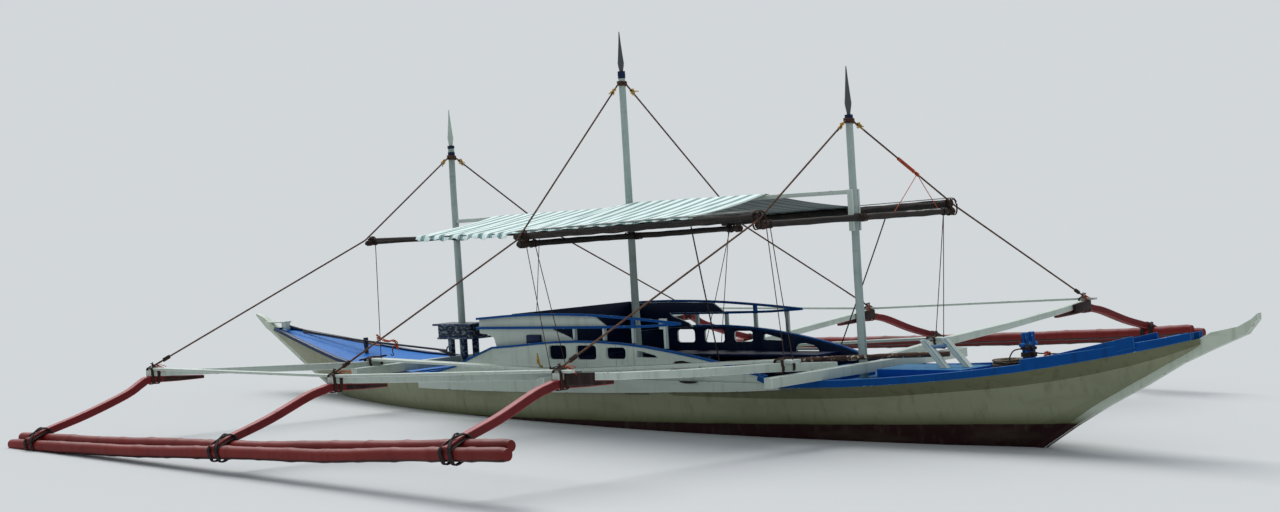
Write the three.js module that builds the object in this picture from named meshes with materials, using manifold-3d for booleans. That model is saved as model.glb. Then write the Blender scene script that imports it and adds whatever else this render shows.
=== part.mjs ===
// Double-outrigger motor canoe: a planked hull with a raked stem and stern, an open passenger well
// with arched sides, three cross booms carrying a pair of bamboo floats on each side, three masts
// whose stays hold up the boom heads, and a striped cloth canopy on poles.
// Millimetres, +X to the bow, +Y to port, +Z up; the origin is amidships on the waterline.
import * as THREE from 'three';
import { mergeVertices } from 'three/addons/utils/BufferGeometryUtils.js';
import Module from 'manifold-3d';

const wasm = await Module();
wasm.setup();

// Driving dimensions
const GAP = 0.3; // between pieces that touch
const PLANK = 40; // side planking
const BOOM_X = { aft: -2970, mid: 170, fore: 3300 };
const MAST_X = { aft: -2870, mid: 70, fore: 3200 };
const HEAD_Y = 4300; // half the span over the boom heads
const FLOAT_R = 66;
const RAIL_Y = 985;
const MAST_R = 45;
const FLOOR_Z = 110;
const RUDDER_X = -4750;
const SIDES = { port: 1, starboard: -1 };

// Colours
const paint = (name, hex, roughness = 0.6, metalness = 0) => {
  const material = new THREE.MeshStandardMaterial({ color: hex, roughness, metalness });
  material.name = name;
  return material;
};
const WHITE = paint('white paint', 0xd5dccf);
const BOOT = paint('boot-top paint', 0x4a1f22);
const BLUE = paint('blue paint', 0x2f62b0);
const SKY = paint('sky blue paint', 0x5f9be0);
const NAVY = paint('navy paint', 0x1b2b58);
const AQUA = paint('pale deck paint', 0x6fa6b8);
const BRICK = paint('brick red paint', 0x96332c);
const BARK = paint('brown timber', 0x4b342a, 0.85);
const DARK = paint('dark grey paint', 0x3a3d42);
const CLOTH = paint('striped cloth', 0xa9d3c4, 0.9);
const ROPE = paint('rope', 0x8a5b3a, 0.9);
const BRONZE = paint('bronze', 0x9a7a3f, 0.35, 0.9);

const craft = new THREE.Group();
craft.name = 'outrigger_canoe';

function add(name, geometry, material) {
  const mesh = new THREE.Mesh(geometry, material);
  mesh.name = name;
  craft.add(mesh);
  return mesh;
}

// Solids for joining and cutting
function solid(geometry) {
  const bare = geometry.clone();
  for (const key of ['normal', 'uv', 'uv1']) bare.deleteAttribute(key);
  const merged = mergeVertices(bare, 1e-3);
  return new wasm.Manifold(new wasm.Mesh({
    numProp: 3,
    vertProperties: new Float32Array(merged.attributes.position.array),
    triVerts: new Uint32Array(merged.index.array),
  }));
}

function surface(body) {
  const mesh = body.getMesh();
  const geometry = new THREE.BufferGeometry();
  geometry.setAttribute('position', new THREE.BufferAttribute(mesh.vertProperties, 3));
  geometry.setIndex(new THREE.BufferAttribute(mesh.triVerts, 1));
  geometry.computeVertexNormals();
  return geometry;
}

// A shape grown by the running gap along the three axes, for cutting its seat in a neighbour
function grown(body, by = GAP) {
  const steps = [[by, 0, 0], [-by, 0, 0], [0, by, 0], [0, -by, 0], [0, 0, by], [0, 0, -by]];
  return steps.reduce((sum, step) => sum.add(body.translate(step)), body);
}

// A value between the rows of a table, by straight steps in x
function along(rows, x, column = 1) {
  if (x <= rows[0][0]) return rows[0][column];
  for (let i = 1; i < rows.length; i += 1) {
    if (x <= rows[i][0]) {
      const t = (x - rows[i - 1][0]) / (rows[i][0] - rows[i - 1][0]);
      return rows[i - 1][column] + t * (rows[i][column] - rows[i - 1][column]);
    }
  }
  return rows[rows.length - 1][column];
}

// The same by a smooth curve through the rows
function faired(rows, x, column = 1) {
  const last = rows.length - 1;
  if (x <= rows[0][0]) return rows[0][column];
  if (x >= rows[last][0]) return rows[last][column];
  let i = 0;
  while (x > rows[i + 1][0]) i += 1;
  const slope = (k) => {
    const a = Math.max(k - 1, 0);
    const b = Math.min(k + 1, last);
    return (rows[b][column] - rows[a][column]) / (rows[b][0] - rows[a][0]);
  };
  const span = rows[i + 1][0] - rows[i][0];
  const t = (x - rows[i][0]) / span;
  const h = [2 * t ** 3 - 3 * t ** 2 + 1, t ** 3 - 2 * t ** 2 + t, 3 * t ** 2 - 2 * t ** 3, t ** 3 - t ** 2];
  return h[0] * rows[i][column] + h[1] * span * slope(i)
    + h[2] * rows[i + 1][column] + h[3] * span * slope(i + 1);
}

function steps(from, to, count) {
  return Array.from({ length: count + 1 }, (_, i) => from + ((to - from) * i) / count);
}

// Frames of the hull: every piece that follows it bends at these, so that neighbours fit
const FRAMES = steps(-6650, 6950, 40);
const frames = (from, to) => [from, ...FRAMES.filter((x) => x > from + 5 && x < to - 5), to];
function framed(rows, column = 1) {
  const table = FRAMES.map((x) => [x, faired(rows, x, column)]);
  return (x) => along(table, x);
}

// Skin over closed rings of equal count, capped at both ends
function loft(rings) {
  const n = rings[0].length;
  const points = rings.flat();
  const faces = [];
  for (let i = 0; i < rings.length - 1; i += 1) {
    for (let j = 0; j < n; j += 1) {
      const [a, b] = [i * n + j, i * n + ((j + 1) % n)];
      faces.push([a, b, b + n], [a, b + n, a + n]);
    }
  }
  for (const [start, flip] of [[0, true], [(rings.length - 1) * n, false]]) {
    const centre = [0, 1, 2].map((k) => points.slice(start, start + n).reduce((s, p) => s + p[k], 0) / n);
    points.push(centre);
    const c = points.length - 1;
    for (let j = 0; j < n; j += 1) {
      const [a, b] = [start + j, start + ((j + 1) % n)];
      faces.push(flip ? [c, b, a] : [c, a, b]);
    }
  }
  const volume = faces.reduce((sum, [a, b, c]) => {
    const [p, q, r] = [a, b, c].map((k) => new THREE.Vector3(...points[k]));
    return sum + p.dot(q.cross(r));
  }, 0);
  const geometry = new THREE.BufferGeometry();
  geometry.setAttribute('position', new THREE.Float32BufferAttribute(points.flat(), 3));
  geometry.setIndex(faces.flatMap(([a, b, c]) => (volume > 0 ? [a, b, c] : [a, c, b])));
  geometry.computeVertexNormals();
  return geometry;
}

function box(x0, x1, y0, y1, z0, z1) {
  const geometry = new THREE.BoxGeometry(x1 - x0, Math.abs(y1 - y0), z1 - z0);
  return geometry.translate((x0 + x1) / 2, (y0 + y1) / 2, (z0 + z1) / 2);
}

// Round bar through points, each with its radius: [x, y, z, radius]
function tube(points, sides = 10) {
  const at = points.map(([x, y, z]) => new THREE.Vector3(x, y, z));
  const turns = steps(0, 2 * Math.PI, sides).slice(0, sides);
  const level = Math.abs(at[at.length - 1].clone().sub(at[0]).normalize().z) < 0.9;
  const guide = level ? new THREE.Vector3(0, 0, 1) : new THREE.Vector3(1, 0, 0);
  return loft(at.map((p, i) => {
    const ahead = at[Math.min(i + 1, at.length - 1)].clone().sub(at[Math.max(i - 1, 0)]).normalize();
    const side = new THREE.Vector3().crossVectors(ahead, guide).normalize();
    const up = new THREE.Vector3().crossVectors(side, ahead);
    return turns.map((angle) => p.clone()
      .addScaledVector(side, points[i][3] * Math.cos(angle))
      .addScaledVector(up, points[i][3] * Math.sin(angle)).toArray());
  }));
}

const rod = (from, to, radius, sides = 10) => tube([[...from, radius], [...to, radius]], sides);

// Squared timber running athwart at x, by rows of |y|, centre height, depth and how far it lies ahead of x
function athwart(x, width, rows, side = 1) {
  return loft(rows.map(([y, z, depth, ahead = 0]) => {
    const [x0, x1] = [x + ahead - width / 2, x + ahead + width / 2];
    return [[x0, side * y, z - depth / 2], [x1, side * y, z - depth / 2],
      [x1, side * y, z + depth / 2], [x0, side * y, z + depth / 2]];
  }));
}

// Squared rail running fore and aft: inner and outer y, bottom and top z as functions of x
function rail(xs, inner, outer, bottom, top, side = 1) {
  return loft(xs.map((x) => [
    [x, side * inner(x), bottom(x)], [x, side * outer(x), bottom(x)],
    [x, side * outer(x), top(x)], [x, side * inner(x), top(x)]]));
}

// Plate cut to an outline in x and z, between two values of y
function plate(outline, y0, y1) {
  const shape = new THREE.Shape(outline.map(([x, z]) => new THREE.Vector2(x, z)));
  const geometry = new THREE.ExtrudeGeometry(shape, { depth: Math.abs(y1 - y0), bevelEnabled: false });
  return geometry.rotateX(Math.PI / 2).translate(0, Math.max(y0, y1), 0);
}

// Sheet of even thickness laid over a net of triangles, each counter-clockwise from above
function sheet(points, triangles, thickness) {
  const n = points.length;
  const corners = [...points, ...points.map(([x, y, z]) => [x, y, z + thickness])];
  const edges = triangles.flatMap(([a, b, c]) => [[a, b], [b, c], [c, a]]);
  const rim = edges.filter(([a, b]) => !edges.some(([c, d]) => c === b && d === a));
  const faces = [
    ...triangles.map(([a, b, c]) => [c, b, a]),
    ...triangles.map(([a, b, c]) => [a + n, b + n, c + n]),
    ...rim.flatMap(([a, b]) => [[a, b, b + n], [a, b + n, a + n]])];
  const geometry = new THREE.BufferGeometry();
  geometry.setAttribute('position', new THREE.Float32BufferAttribute(corners.flat(), 3));
  geometry.setIndex(faces.flat());
  geometry.computeVertexNormals();
  return geometry;
}

// Height at x and y of the plane through three points
function planeHeight([a, b, c], x, y) {
  const plane = new THREE.Plane().setFromCoplanarPoints(...[a, b, c].map((p) => new THREE.Vector3(...p)));
  return -(plane.normal.x * x + plane.normal.y * y + plane.constant) / plane.normal.z;
}

// Hull form: half-breadths and heights of keel, bilge, chine and sheer at each station
const HULL = [
  // x, keel z, bilge y, bilge z, chine y, chine z, sheer y, sheer z
  [-6650, 870, 20, 880, 34, 890, 60, 925],
  [-6300, 655, 45, 700, 100, 770, 165, 870],
  [-5300, 70, 150, 200, 330, 470, 430, 690],
  [-4400, -230, 340, -70, 570, 350, 640, 540],
  [-3400, -410, 580, -200, 800, 310, 840, 460],
  [-2400, -480, 780, -280, 940, 300, 965, 430],
  [-1200, -520, 900, -310, 1020, 290, 1040, 425],
  [0, -540, 940, -320, 1040, 290, 1060, 420],
  [1400, -540, 880, -320, 1010, 290, 1040, 405],
  [2700, -530, 680, -300, 860, 265, 950, 380],
  [3600, -510, 500, -270, 690, 270, 815, 390],
  [4400, -470, 320, -200, 500, 310, 635, 430],
  [5200, -270, 160, -40, 310, 370, 445, 500],
  [5900, 150, 90, 260, 170, 470, 290, 600],
  [6500, 450, 50, 520, 90, 600, 170, 700],
  [6950, 660, 25, 700, 40, 740, 85, 790],
];
const COLUMN = { keelZ: 1, bilgeY: 2, bilgeZ: 3, chineY: 4, chineZ: 5, sheerY: 6, sheerZ: 7 };
const hull = Object.fromEntries(Object.entries(COLUMN).map(([key, column]) => [key, framed(HULL, column)]));
const sheerY = hull.sheerY;
const sheerZ = hull.sheerZ;

function hullRing(x, inset = 0, raise = 0) {
  const half = [
    [hull.bilgeY(x) - inset, hull.bilgeZ(x)],
    [hull.chineY(x) - inset, hull.chineZ(x)],
    [sheerY(x) - inset, sheerZ(x) + raise]];
  const port = half.map(([y, z]) => [x, Math.max(y, 4), z]);
  const starboard = half.map(([y, z]) => [x, -Math.max(y, 4), z]).reverse();
  return [[x, 0, hull.keelZ(x)], ...port, ...starboard];
}

const hullForm = solid(loft(FRAMES.map((x) => hullRing(x))));
const hollow = solid(loft(frames(-5900, 6300).map((x) => hullRing(x, PLANK, 300))));
const aboveWater = solid(box(-8000, 8000, -2000, 2000, GAP, 3000));
const belowWater = solid(box(-8000, 8000, -2000, 2000, -2000, 0));

// Stem and stern timbers in outline, with the horns above the deck
const STEM = [
  [4700, -520], [5240, -270], [5630, -30], [5990, 170], [6380, 360], [6750, 560], [7030, 680],
  [7390, 825], [7500, 950], [7500, 1010], [7440, 960], [7310, 895], [7050, 845], [6860, 745],
  [6680, 650], [6330, 470], [5930, 280], [5580, 80], [5180, -160], [4700, -400]];
const STERN = [
  [-4300, -290], [-4700, -175], [-5150, -25], [-5420, 120], [-5960, 425], [-6740, 900],
  [-6830, 945], [-7045, 1125], [-7030, 1140], [-6900, 1105], [-6700, 1000], [-6560, 915],
  [-5900, 535], [-5350, 235], [-5080, 90], [-4700, -70], [-4300, -180]].reverse();
const stem = solid(plate(STEM, -38, 38));
const stern = solid(plate(STERN, -38, 38));
const STOCK_R = 26;
const rudderHole = solid(rod([RUDDER_X, 0, -900], [RUDDER_X, 0, 1200], STOCK_R + 1, 16));
const timbers = grown(stem).add(grown(stern));

add('hull_bottom', surface(hullForm.intersect(belowWater).subtract(timbers).subtract(rudderHole)), BOOT);
add('hull_topsides', surface(hullForm.intersect(aboveWater).subtract(hollow).subtract(timbers)
  .subtract(rudderHole)), WHITE);
add('stern_timber', surface(stern.subtract(rudderHole)), WHITE);

// Keel timber under the bottom, running up into the stem and carrying the stern tube aft
const KEEL = [[-3900, -640], [4250, -620], [4700, -523], [4725, -508], [4725, -390], [-3900, -250]];
const SHAFT = { from: [-3905, 0, -500], to: [-4330, 0, -535], radius: 17 };
const shaftAxis = new THREE.Vector3(...SHAFT.to).sub(new THREE.Vector3(...SHAFT.from)).normalize();
const keel = solid(plate(KEEL, -36, 36)).subtract(grown(hullForm)).add(stem);
const sternTube = solid(rod([-3700, 0, -483], [-4030, 0, -510.3], 30, 16));
const shaftBore = solid(rod([-3850, 0, -495.5], [-4400, 0, -540.8], SHAFT.radius + 0.8, 16));
add('keel_and_stem', surface(keel.add(sternTube).subtract(shaftBore)), WHITE);

// Propeller: shaft, boss and three blades
function propeller() {
  const at = new THREE.Vector3(-4250, 0, -528.4);
  const point = (distance, radius) => at.clone().addScaledVector(shaftAxis, distance).toArray().concat(radius);
  let body = solid(tube([point(-385, SHAFT.radius), point(-48, SHAFT.radius), point(-45, 34),
    point(40, 30), point(75, 10)], 14));
  for (const turn of [0, 1, 2]) {
    const blade = new THREE.SphereGeometry(1, 12, 8);
    blade.scale(9, 62, 92).translate(0, 0, 84).rotateZ(0.55);
    blade.rotateX((turn * 2 * Math.PI) / 3);
    blade.applyQuaternion(new THREE.Quaternion().setFromUnitVectors(new THREE.Vector3(-1, 0, 0), shaftAxis));
    blade.translate(at.x, at.y, at.z);
    body = body.add(solid(blade));
  }
  return surface(body);
}
add('propeller', propeller(), BRONZE);

// Rudder: blade, stock and forked head with the long tiller pole
const TILLER = [ // x, z of the pole's centre
  [-6450, 985], [-5820, 875], [-4750, 765], [-3180, 650]];
function rudder() {
  const outline = [[-5170, -700], [-4640, -740], [-4620, -300], [-4800, -265], [-5100, -200]];
  const blade = solid(plate(outline, -14, 14));
  const stock = solid(rod([RUDDER_X, 0, -600], [RUDDER_X, 0, 740], STOCK_R, 16));
  const pole = solid(tube(TILLER.map(([x, z]) => [x, 0, z, 14]), 8));
  const fork = [-1, 1].map((side) => solid(box(RUDDER_X - 18, RUDDER_X + 18, side * 8, side * 26, 700, 810)));
  const grip = solid(new THREE.TorusGeometry(58, 9, 8, 20).rotateX(Math.PI / 2).translate(-3128, 0, 646));
  return surface(blade.add(stock).add(pole).add(fork[0]).add(fork[1]).add(grip));
}
add('rudder', rudder(), DARK);

// Inside of the hull: floor with the after bulkhead and benches, fore bulkhead, engine
const inside = solid(loft(frames(-5900, 6300).map((x) => hullRing(x, PLANK + GAP, 300))));
const BENCH = { from: -900, to: 2150, inner: 560, outer: 965, top: 570, thick: 25, leg: 40 };
const benches = Object.values(SIDES).flatMap((side) => [
  solid(box(BENCH.from, BENCH.to, side * BENCH.inner, side * BENCH.outer, BENCH.top - BENCH.thick, BENCH.top)),
  ...steps(BENCH.from + BENCH.leg, BENCH.to - BENCH.leg, 4).map((x) => solid(box(x - BENCH.leg / 2,
    x + BENCH.leg / 2, side * (BENCH.inner + 30), side * (BENCH.inner + 55), FLOOR_Z - 5, BENCH.top - 5)))]);
const athwartships = (x0, x1, z0, z1) => inside.intersect(solid(box(x0, x1, -2000, 2000, z0, z1)));
const floor = athwartships(-2100, 2680, GAP * 2, FLOOR_Z).add(athwartships(-2115, -2090, GAP * 2, 420));
const boomWay = solid(box(BOOM_X.mid - 51, BOOM_X.mid + 51, -1300, 1300, 300, 532));
add('well_floor', surface(benches.reduce((sum, piece) => sum.add(piece), floor).subtract(boomWay)), NAVY);
add('fore_bulkhead', surface(athwartships(2690, 2715, GAP * 2, 372)), BLUE);
add('engine_block', box(-1950, -1250, -260, 260, FLOOR_Z + GAP, 640), DARK);

// Decks at the sheer
const between = (x0, x1, half, bottom, thickness) => loft(frames(x0, x1).map((x) => [
  [x, -half(x), bottom(x)], [x, half(x), bottom(x)],
  [x, half(x), bottom(x) + thickness], [x, -half(x), bottom(x) + thickness]]));
const RAIL_IN = 42;
const RAIL_OUT = 16;
const deckHalf = (x) => sheerY(x) - RAIL_IN - GAP;
const onSheer = (x) => sheerZ(x) + GAP;
const deckTop = (x) => onSheer(x) + 16;
const sternDeck = solid(between(-6560, -2430, deckHalf, onSheer, 20));
add('stern_deck', surface(sternDeck.subtract(rudderHole).subtract(timbers)), SKY);
const hatch = (x0, x1, half, height) => solid(loft([0, 1].map((end) => {
  const x = end ? x1 : x0;
  return [[x, -half, deckTop(x) - 3], [x, half, deckTop(x) - 3],
    [x, half, deckTop(x0) + height], [x, -half, deckTop(x0) + height]];
})));
const foreDeck = solid(between(2720, 5330, deckHalf, onSheer, 16));
add('fore_deck', surface(foreDeck.add(hatch(2780, 3120, 300, 105))), AQUA);

// Gunwales on the sheer: along the stern, joined by a chock; along the foredeck, raised at the bow
// where the bow deck joins them
const inner = (x) => sheerY(x) - RAIL_IN;
const outer = (x) => sheerY(x) + RAIL_OUT;
const CHOCK = { from: -6440, to: -6400, half: 130, thick: 18 };
const chockSeat = sheerZ(CHOCK.from) + 40;
let sternRails = solid(box(CHOCK.from, CHOCK.to, -CHOCK.half, CHOCK.half, chockSeat,
  chockSeat + CHOCK.thick + 5));
let foreRails = solid(between(5345, 6780, (x) => sheerY(x) - RAIL_IN + 4, (x) => sheerZ(x) + 60, 18));
for (const [name, side] of Object.entries(SIDES)) {
  sternRails = sternRails.add(solid(rail(frames(-6560, -2430), inner, outer, onSheer,
    (x) => sheerZ(x) + 45, side)));
  const low = solid(rail(frames(2870, 5335), inner, outer, onSheer, (x) => sheerZ(x) + 72, side));
  const raised = solid(rail(frames(5330, 6900), inner, outer, onSheer,
    (x) => sheerZ(x) + 115 - (x - 5335) * 0.03, side));
  foreRails = foreRails.add(low).add(raised);
  const strakeTop = (x) => sheerZ(x) - GAP;
  const strake = loft(frames(-2600, 2860).map((x) => [
    [x, side * (hull.chineY(x) + 2), hull.chineZ(x)], [x, side * (sheerY(x) + 28), hull.chineZ(x)],
    [x, side * (sheerY(x) + 28), strakeTop(x)], [x, side * (sheerY(x) + 2), strakeTop(x)]]));
  add(`upper_strake_${name}`, surface(solid(strake).subtract(grown(hullForm))), WHITE);
}
add('stern_gunwales', surface(sternRails.subtract(timbers)), BLUE);
add('fore_gunwales', surface(foreRails.subtract(timbers)), BLUE);

// Arched sides of the passenger well, in panels that meet at the middle of each window
const ARCH = [ // x, top z
  [-2400, 470], [-2010, 525], [-1700, 610], [-1450, 705], [-1200, 772], [-950, 786], [-700, 796],
  [-440, 822], [-100, 836], [460, 838], [1040, 798], [1600, 720], [2180, 612], [2610, 490], [2700, 455]];
const WINDOWS = [ // centre x, centre z, width, height, corner radius
  [-135, 735, 270, 150, 40], [305, 735, 300, 150, 40], [745, 728, 280, 120, 40]];
const SIDE = { outer: 8, thick: 24 };
const archTop = framed(ARCH);
const PANELS = { // x from and to
  aft: [-2400, -135], mid: [-135, 305], next: [305, 745], wedge: [745, 1000], fore: [1000, 2700] };
const sideFoot = (x) => sheerZ(x) + GAP;

function roundedWindow([x, z, width, height, radius], side) {
  const shape = new THREE.Shape();
  const [w, h] = [width / 2, height / 2];
  shape.moveTo(x - w + radius, z - h);
  shape.lineTo(x + w - radius, z - h);
  shape.absarc(x + w - radius, z - h + radius, radius, -Math.PI / 2, 0);
  shape.absarc(x + w - radius, z + h - radius, radius, 0, Math.PI / 2);
  shape.absarc(x - w + radius, z + h - radius, radius, Math.PI / 2, Math.PI);
  shape.absarc(x - w + radius, z - h + radius, radius, Math.PI, 1.5 * Math.PI);
  const cut = new THREE.ExtrudeGeometry(shape, { depth: 400, bevelEnabled: false, curveSegments: 4 });
  return solid(cut.rotateX(Math.PI / 2).translate(0, side * 1000 + 200, 0));
}

// The wedge window ahead of the three, and the half-moon port near the fore end
const WEDGE = [[1045, 690], [1330, 682], [1300, 705], [1090, 752], [1052, 748]];
const HALF_MOON = [[1520, 555], [1860, 535], [1845, 590], [1780, 632], [1660, 652], [1560, 645], [1520, 610]];

const skin = (x) => sheerY(x) - SIDE.outer;
for (const [sideName, side] of Object.entries(SIDES)) {
  const holes = [...WINDOWS.map((window) => roundedWindow(window, side)),
    ...[WEDGE, HALF_MOON].map((outline) => solid(plate(outline, side * 1000 - 200, side * 1000 + 200))), boomWay];
  for (const [name, [from, to]] of Object.entries(PANELS)) {
    const panel = rail(frames(from + GAP / 2, to - GAP / 2), (x) => skin(x) - SIDE.thick, skin,
      sideFoot, archTop, side);
    add(`well_side_${name}_${sideName}`,
      surface(holes.reduce((body, hole) => body.subtract(hole), solid(panel))), WHITE);
  }
}

// Cap along each arch; the handrails on their posts over it; the cabin panel aft between the rails
const UPPER_RAIL = [[-1480, 1105], [-900, 1135], [-300, 1145], [380, 1128], [1070, 1082], [1640, 1030]];
const LOWER_RAIL = [[-1480, 1000], [1060, 1005], [1640, 1030]];
const POSTS = [[90, 990], [540, 990], [970, 1080], [1430, 1040]]; // x, top z
const capTop = (x) => archTop(x) + 22;
for (const [name, side] of Object.entries(SIDES)) {
  add(`arch_cap_${name}`, rail(frames(-2400, 2700), (x) => skin(x) - 36, (x) => skin(x) + 12,
    (x) => archTop(x) + GAP, capTop, side), BLUE);
  const post = ([x, z]) => solid(box(x - 20, x + 20, side * (RAIL_Y - 12), side * (RAIL_Y + 22),
    Math.max(capTop(x - 20), capTop(x), capTop(x + 20)) + GAP, z));
  const bar = (rows) => solid(rail(steps(-1480, 1640, 14), () => RAIL_Y - 14, () => RAIL_Y + 26,
    (x) => faired(rows, x) - 13, (x) => faired(rows, x) + 13, side));
  const rails = POSTS.reduce((sum, row) => sum.add(post(row)), bar(UPPER_RAIL).add(bar(LOWER_RAIL)));
  add(`handrail_${name}`, surface(rails), BLUE);
  const lowEdge = [-1200, -900, -600, -300, 45].map((x) => [x, capTop(x) - 15]);
  const outline = [[-1470, 940], [-1330, 925], [-1235, 885], ...lowEdge, [-15, 890], [-105, 922], [-270, 975],
    [-300, 1006], [550, 1010], [465, 1062], [375, 1118], [-300, 1135], [-900, 1128], [-1470, 1095]];
  add(`cabin_panel_${name}`, plate(outline, side * (RAIL_Y - 34), side * (RAIL_Y - 14 - GAP)), WHITE);
}

// Booms: a level timber across the hull with a wing beside it to each side
const BOOMS = {
  // height of the rail that carries the timber above the sheer, wing rows of |y|, centre z, depth
  aft: { rail: 45, rows: [[930, 575, 84], [1500, 615, 84], [2600, 685, 74], [3600, 750, 66], [4300, 800, 60]] },
  mid: { rail: 0, rows: [[1130, 495, 84], [1500, 525, 84], [2600, 615, 74], [3600, 702, 66], [4300, 765, 60]] },
  fore: { rail: 72, rows: [[480, 560, 84], [1500, 640, 84], [2600, 700, 74], [3600, 775, 66], [4300, 840, 60]] },
};
const BOOM_W = 100;
const boomSeat = (name) => Math.max(sheerZ(BOOM_X[name] - BOOM_W / 2), sheerZ(BOOM_X[name] + BOOM_W / 2))
  + BOOMS[name].rail + GAP;
const wingX = (name) => BOOM_X[name] - BOOM_W / 2 - 44;
const wingZ = (name, y) => along(BOOMS[name].rows, y);
const wingBottom = (name, y) => wingZ(name, y) - along(BOOMS[name].rows, y, 2) / 2;
const wingTop = (name, y) => wingZ(name, y) + along(BOOMS[name].rows, y, 2) / 2;
for (const name of Object.keys(BOOMS)) {
  const z = boomSeat(name) + 50 + GAP;
  const timber = solid(athwart(BOOM_X[name], BOOM_W, [[-1620, z, 100], [1620, z, 100]]));
  const wings = Object.values(SIDES).map((side) => solid(athwart(wingX(name), 90, BOOMS[name].rows, side)));
  add(`boom_${name}`, surface(timber.add(wings[0]).add(wings[1])), WHITE);
}

// Floats: pairs of bamboo poles, the inner one lying higher, thicker at each joint of the cane, drawn
// in and rising towards the bow, with the arms that come down to them from under the wing heads
const FLOAT_RISE = [[-3500, 225], [-1500, 235], [0, 255], [1800, 305], [3100, 350], [4000, 392]];
const floatZ = (x) => faired(FLOAT_RISE, x);
const DRAWN_IN = [[-3500, 0], [4000, 100]];
const POLES = {
  inner: { y: 5580, lift: 30, from: -3480, to: 3890 },
  outer: { y: 5700, lift: -20, from: -3500, to: 3970 },
};
const poleAt = ({ y, lift }, x) => [y - along(DRAWN_IN, x), floatZ(x) + lift]; // |y| and z of its centre
const CANE = 480;
function pole(row, side) {
  const at = (x, radius) => [x, side * poleAt(row, x)[0], poleAt(row, x)[1], radius];
  const points = [];
  for (let x = row.from; x < row.to - CANE / 4; x += CANE / 2) {
    const joint = Math.round((x - row.from) / (CANE / 2)) % 2 === 0;
    points.push(at(x, joint ? FLOAT_R : FLOAT_R - 3));
  }
  points.push(at(row.to, FLOAT_R - 4));
  return solid(tube(points, 12));
}

// Arms: how far each has come down at its knee, and how far its foot lies ahead of its head
const ARMS = { aft: { knee: 132, ahead: 0 }, mid: { knee: 59, ahead: 50 }, fore: { knee: 60, ahead: 100 } };
function arm(name, side) {
  const { knee, ahead } = ARMS[name];
  const tail = (y) => wingBottom(name, y) - GAP;
  const head = tail(HEAD_Y) - 38;
  const footX = wingX(name) + ahead;
  const [innerY, innerZ] = poleAt(POLES.inner, footX);
  const [outerY, outerZ] = poleAt(POLES.outer, footX);
  const middle = [(4600 + innerY) / 2, (head - knee + innerZ + FLOAT_R - 3) / 2 - 16];
  return solid(athwart(wingX(name), 84, [
    [3620, tail(3620) - 20, 40], [3950, tail(3950) - 30, 60], [HEAD_Y, head, 76], [4400, head - knee / 4, 80],
    [4600, head - knee, 80, ahead * 0.2], [...middle, 80, ahead * 0.6],
    [innerY, innerZ + FLOAT_R - 3, 76, ahead], [outerY + 60, outerZ + FLOAT_R - 21, 70, ahead]], side));
}

for (const [sideName, side] of Object.entries(SIDES)) {
  const poles = Object.values(POLES).map((row) => pole(row, side));
  const arms = Object.keys(BOOMS).map((name) => arm(name, side));
  add(`float_${sideName}`, surface([...poles, ...arms].reduce((sum, piece) => sum.add(piece))), BRICK);
}

// Long rails joining the boom heads, and the planks beside the hull
const HEAD_RAIL = { inner: 4215, outer: 4275, thick: 26 };
const onBoom = (name, y) => Math.max(wingTop(name, y), boomSeat(name) + BOOM_W + GAP) + GAP;
const overWings = (y) => Object.keys(BOOMS).flatMap((name) => [
  [wingX(name) - 60, onBoom(name, y)], [BOOM_X[name] + BOOM_W / 2 + 10, onBoom(name, y)]]);
for (const [sideName, side] of Object.entries(SIDES)) {
  const lain = (rows, y0, y1, thick) => rail(rows.map((row) => row[0]), () => y0, () => y1,
    (x) => along(rows, x), (x) => along(rows, x) + thick, side);
  const { inner: from, outer: to, thick } = HEAD_RAIL;
  add(`head_rail_${sideName}`, lain(overWings(to), from, to, thick), WHITE);
  add(`side_plank_${sideName}`, lain(overWings(1320), 1180, 1320, 28), WHITE);
}

// Masts, tapered, each with its head carved to a point
const MASTS = {
  // foot z, neck z, widest z of the head, tip z
  aft: { foot: onSheer(MAST_X.aft - MAST_R) + 20, neck: 3110, wide: 3235, tip: 3580, material: WHITE },
  mid: { foot: FLOOR_Z, neck: 3750, wide: 3865, tip: 4215, material: WHITE },
  fore: { foot: deckTop(MAST_X.fore + MAST_R), neck: 3050, wide: 3170, tip: 3540, material: WHITE },
};
const mastRadius = (name, z) => MAST_R - (8 * (z - MASTS[name].foot)) / (MASTS[name].neck - MASTS[name].foot);
for (const [name, { foot, neck, wide, tip, material }] of Object.entries(MASTS)) {
  const base = foot + GAP;
  const profile = [[0, base], [MAST_R, base], [MAST_R - 8, neck], [22, neck + 1], [44, wide], [3, tip], [0, tip]];
  const geometry = new THREE.LatheGeometry(profile.map(([r, z]) => new THREE.Vector2(r, z)), 16);
  add(`mast_${name}`, geometry.rotateX(Math.PI / 2).translate(MAST_X[name], 0, 0), material);
}

// Yards across the masts, each with its half-length, height and radius
const YARDS = {
  aft: { half: 1450, z: 2030, r: 21 },
  mid: { half: 1790, z: 1940, r: 34 },
  fore: { half: 1610, z: 2010, r: 34 },
};
const yardX = (name) => MAST_X[name] + mastRadius(name, YARDS[name].z - YARDS[name].r) + YARDS[name].r + GAP;
for (const [name, { half, z, r }] of Object.entries(YARDS)) {
  add(`yard_${name}`, rod([yardX(name), -half, z], [yardX(name), half, z], r, 8), BARK);
}

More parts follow.
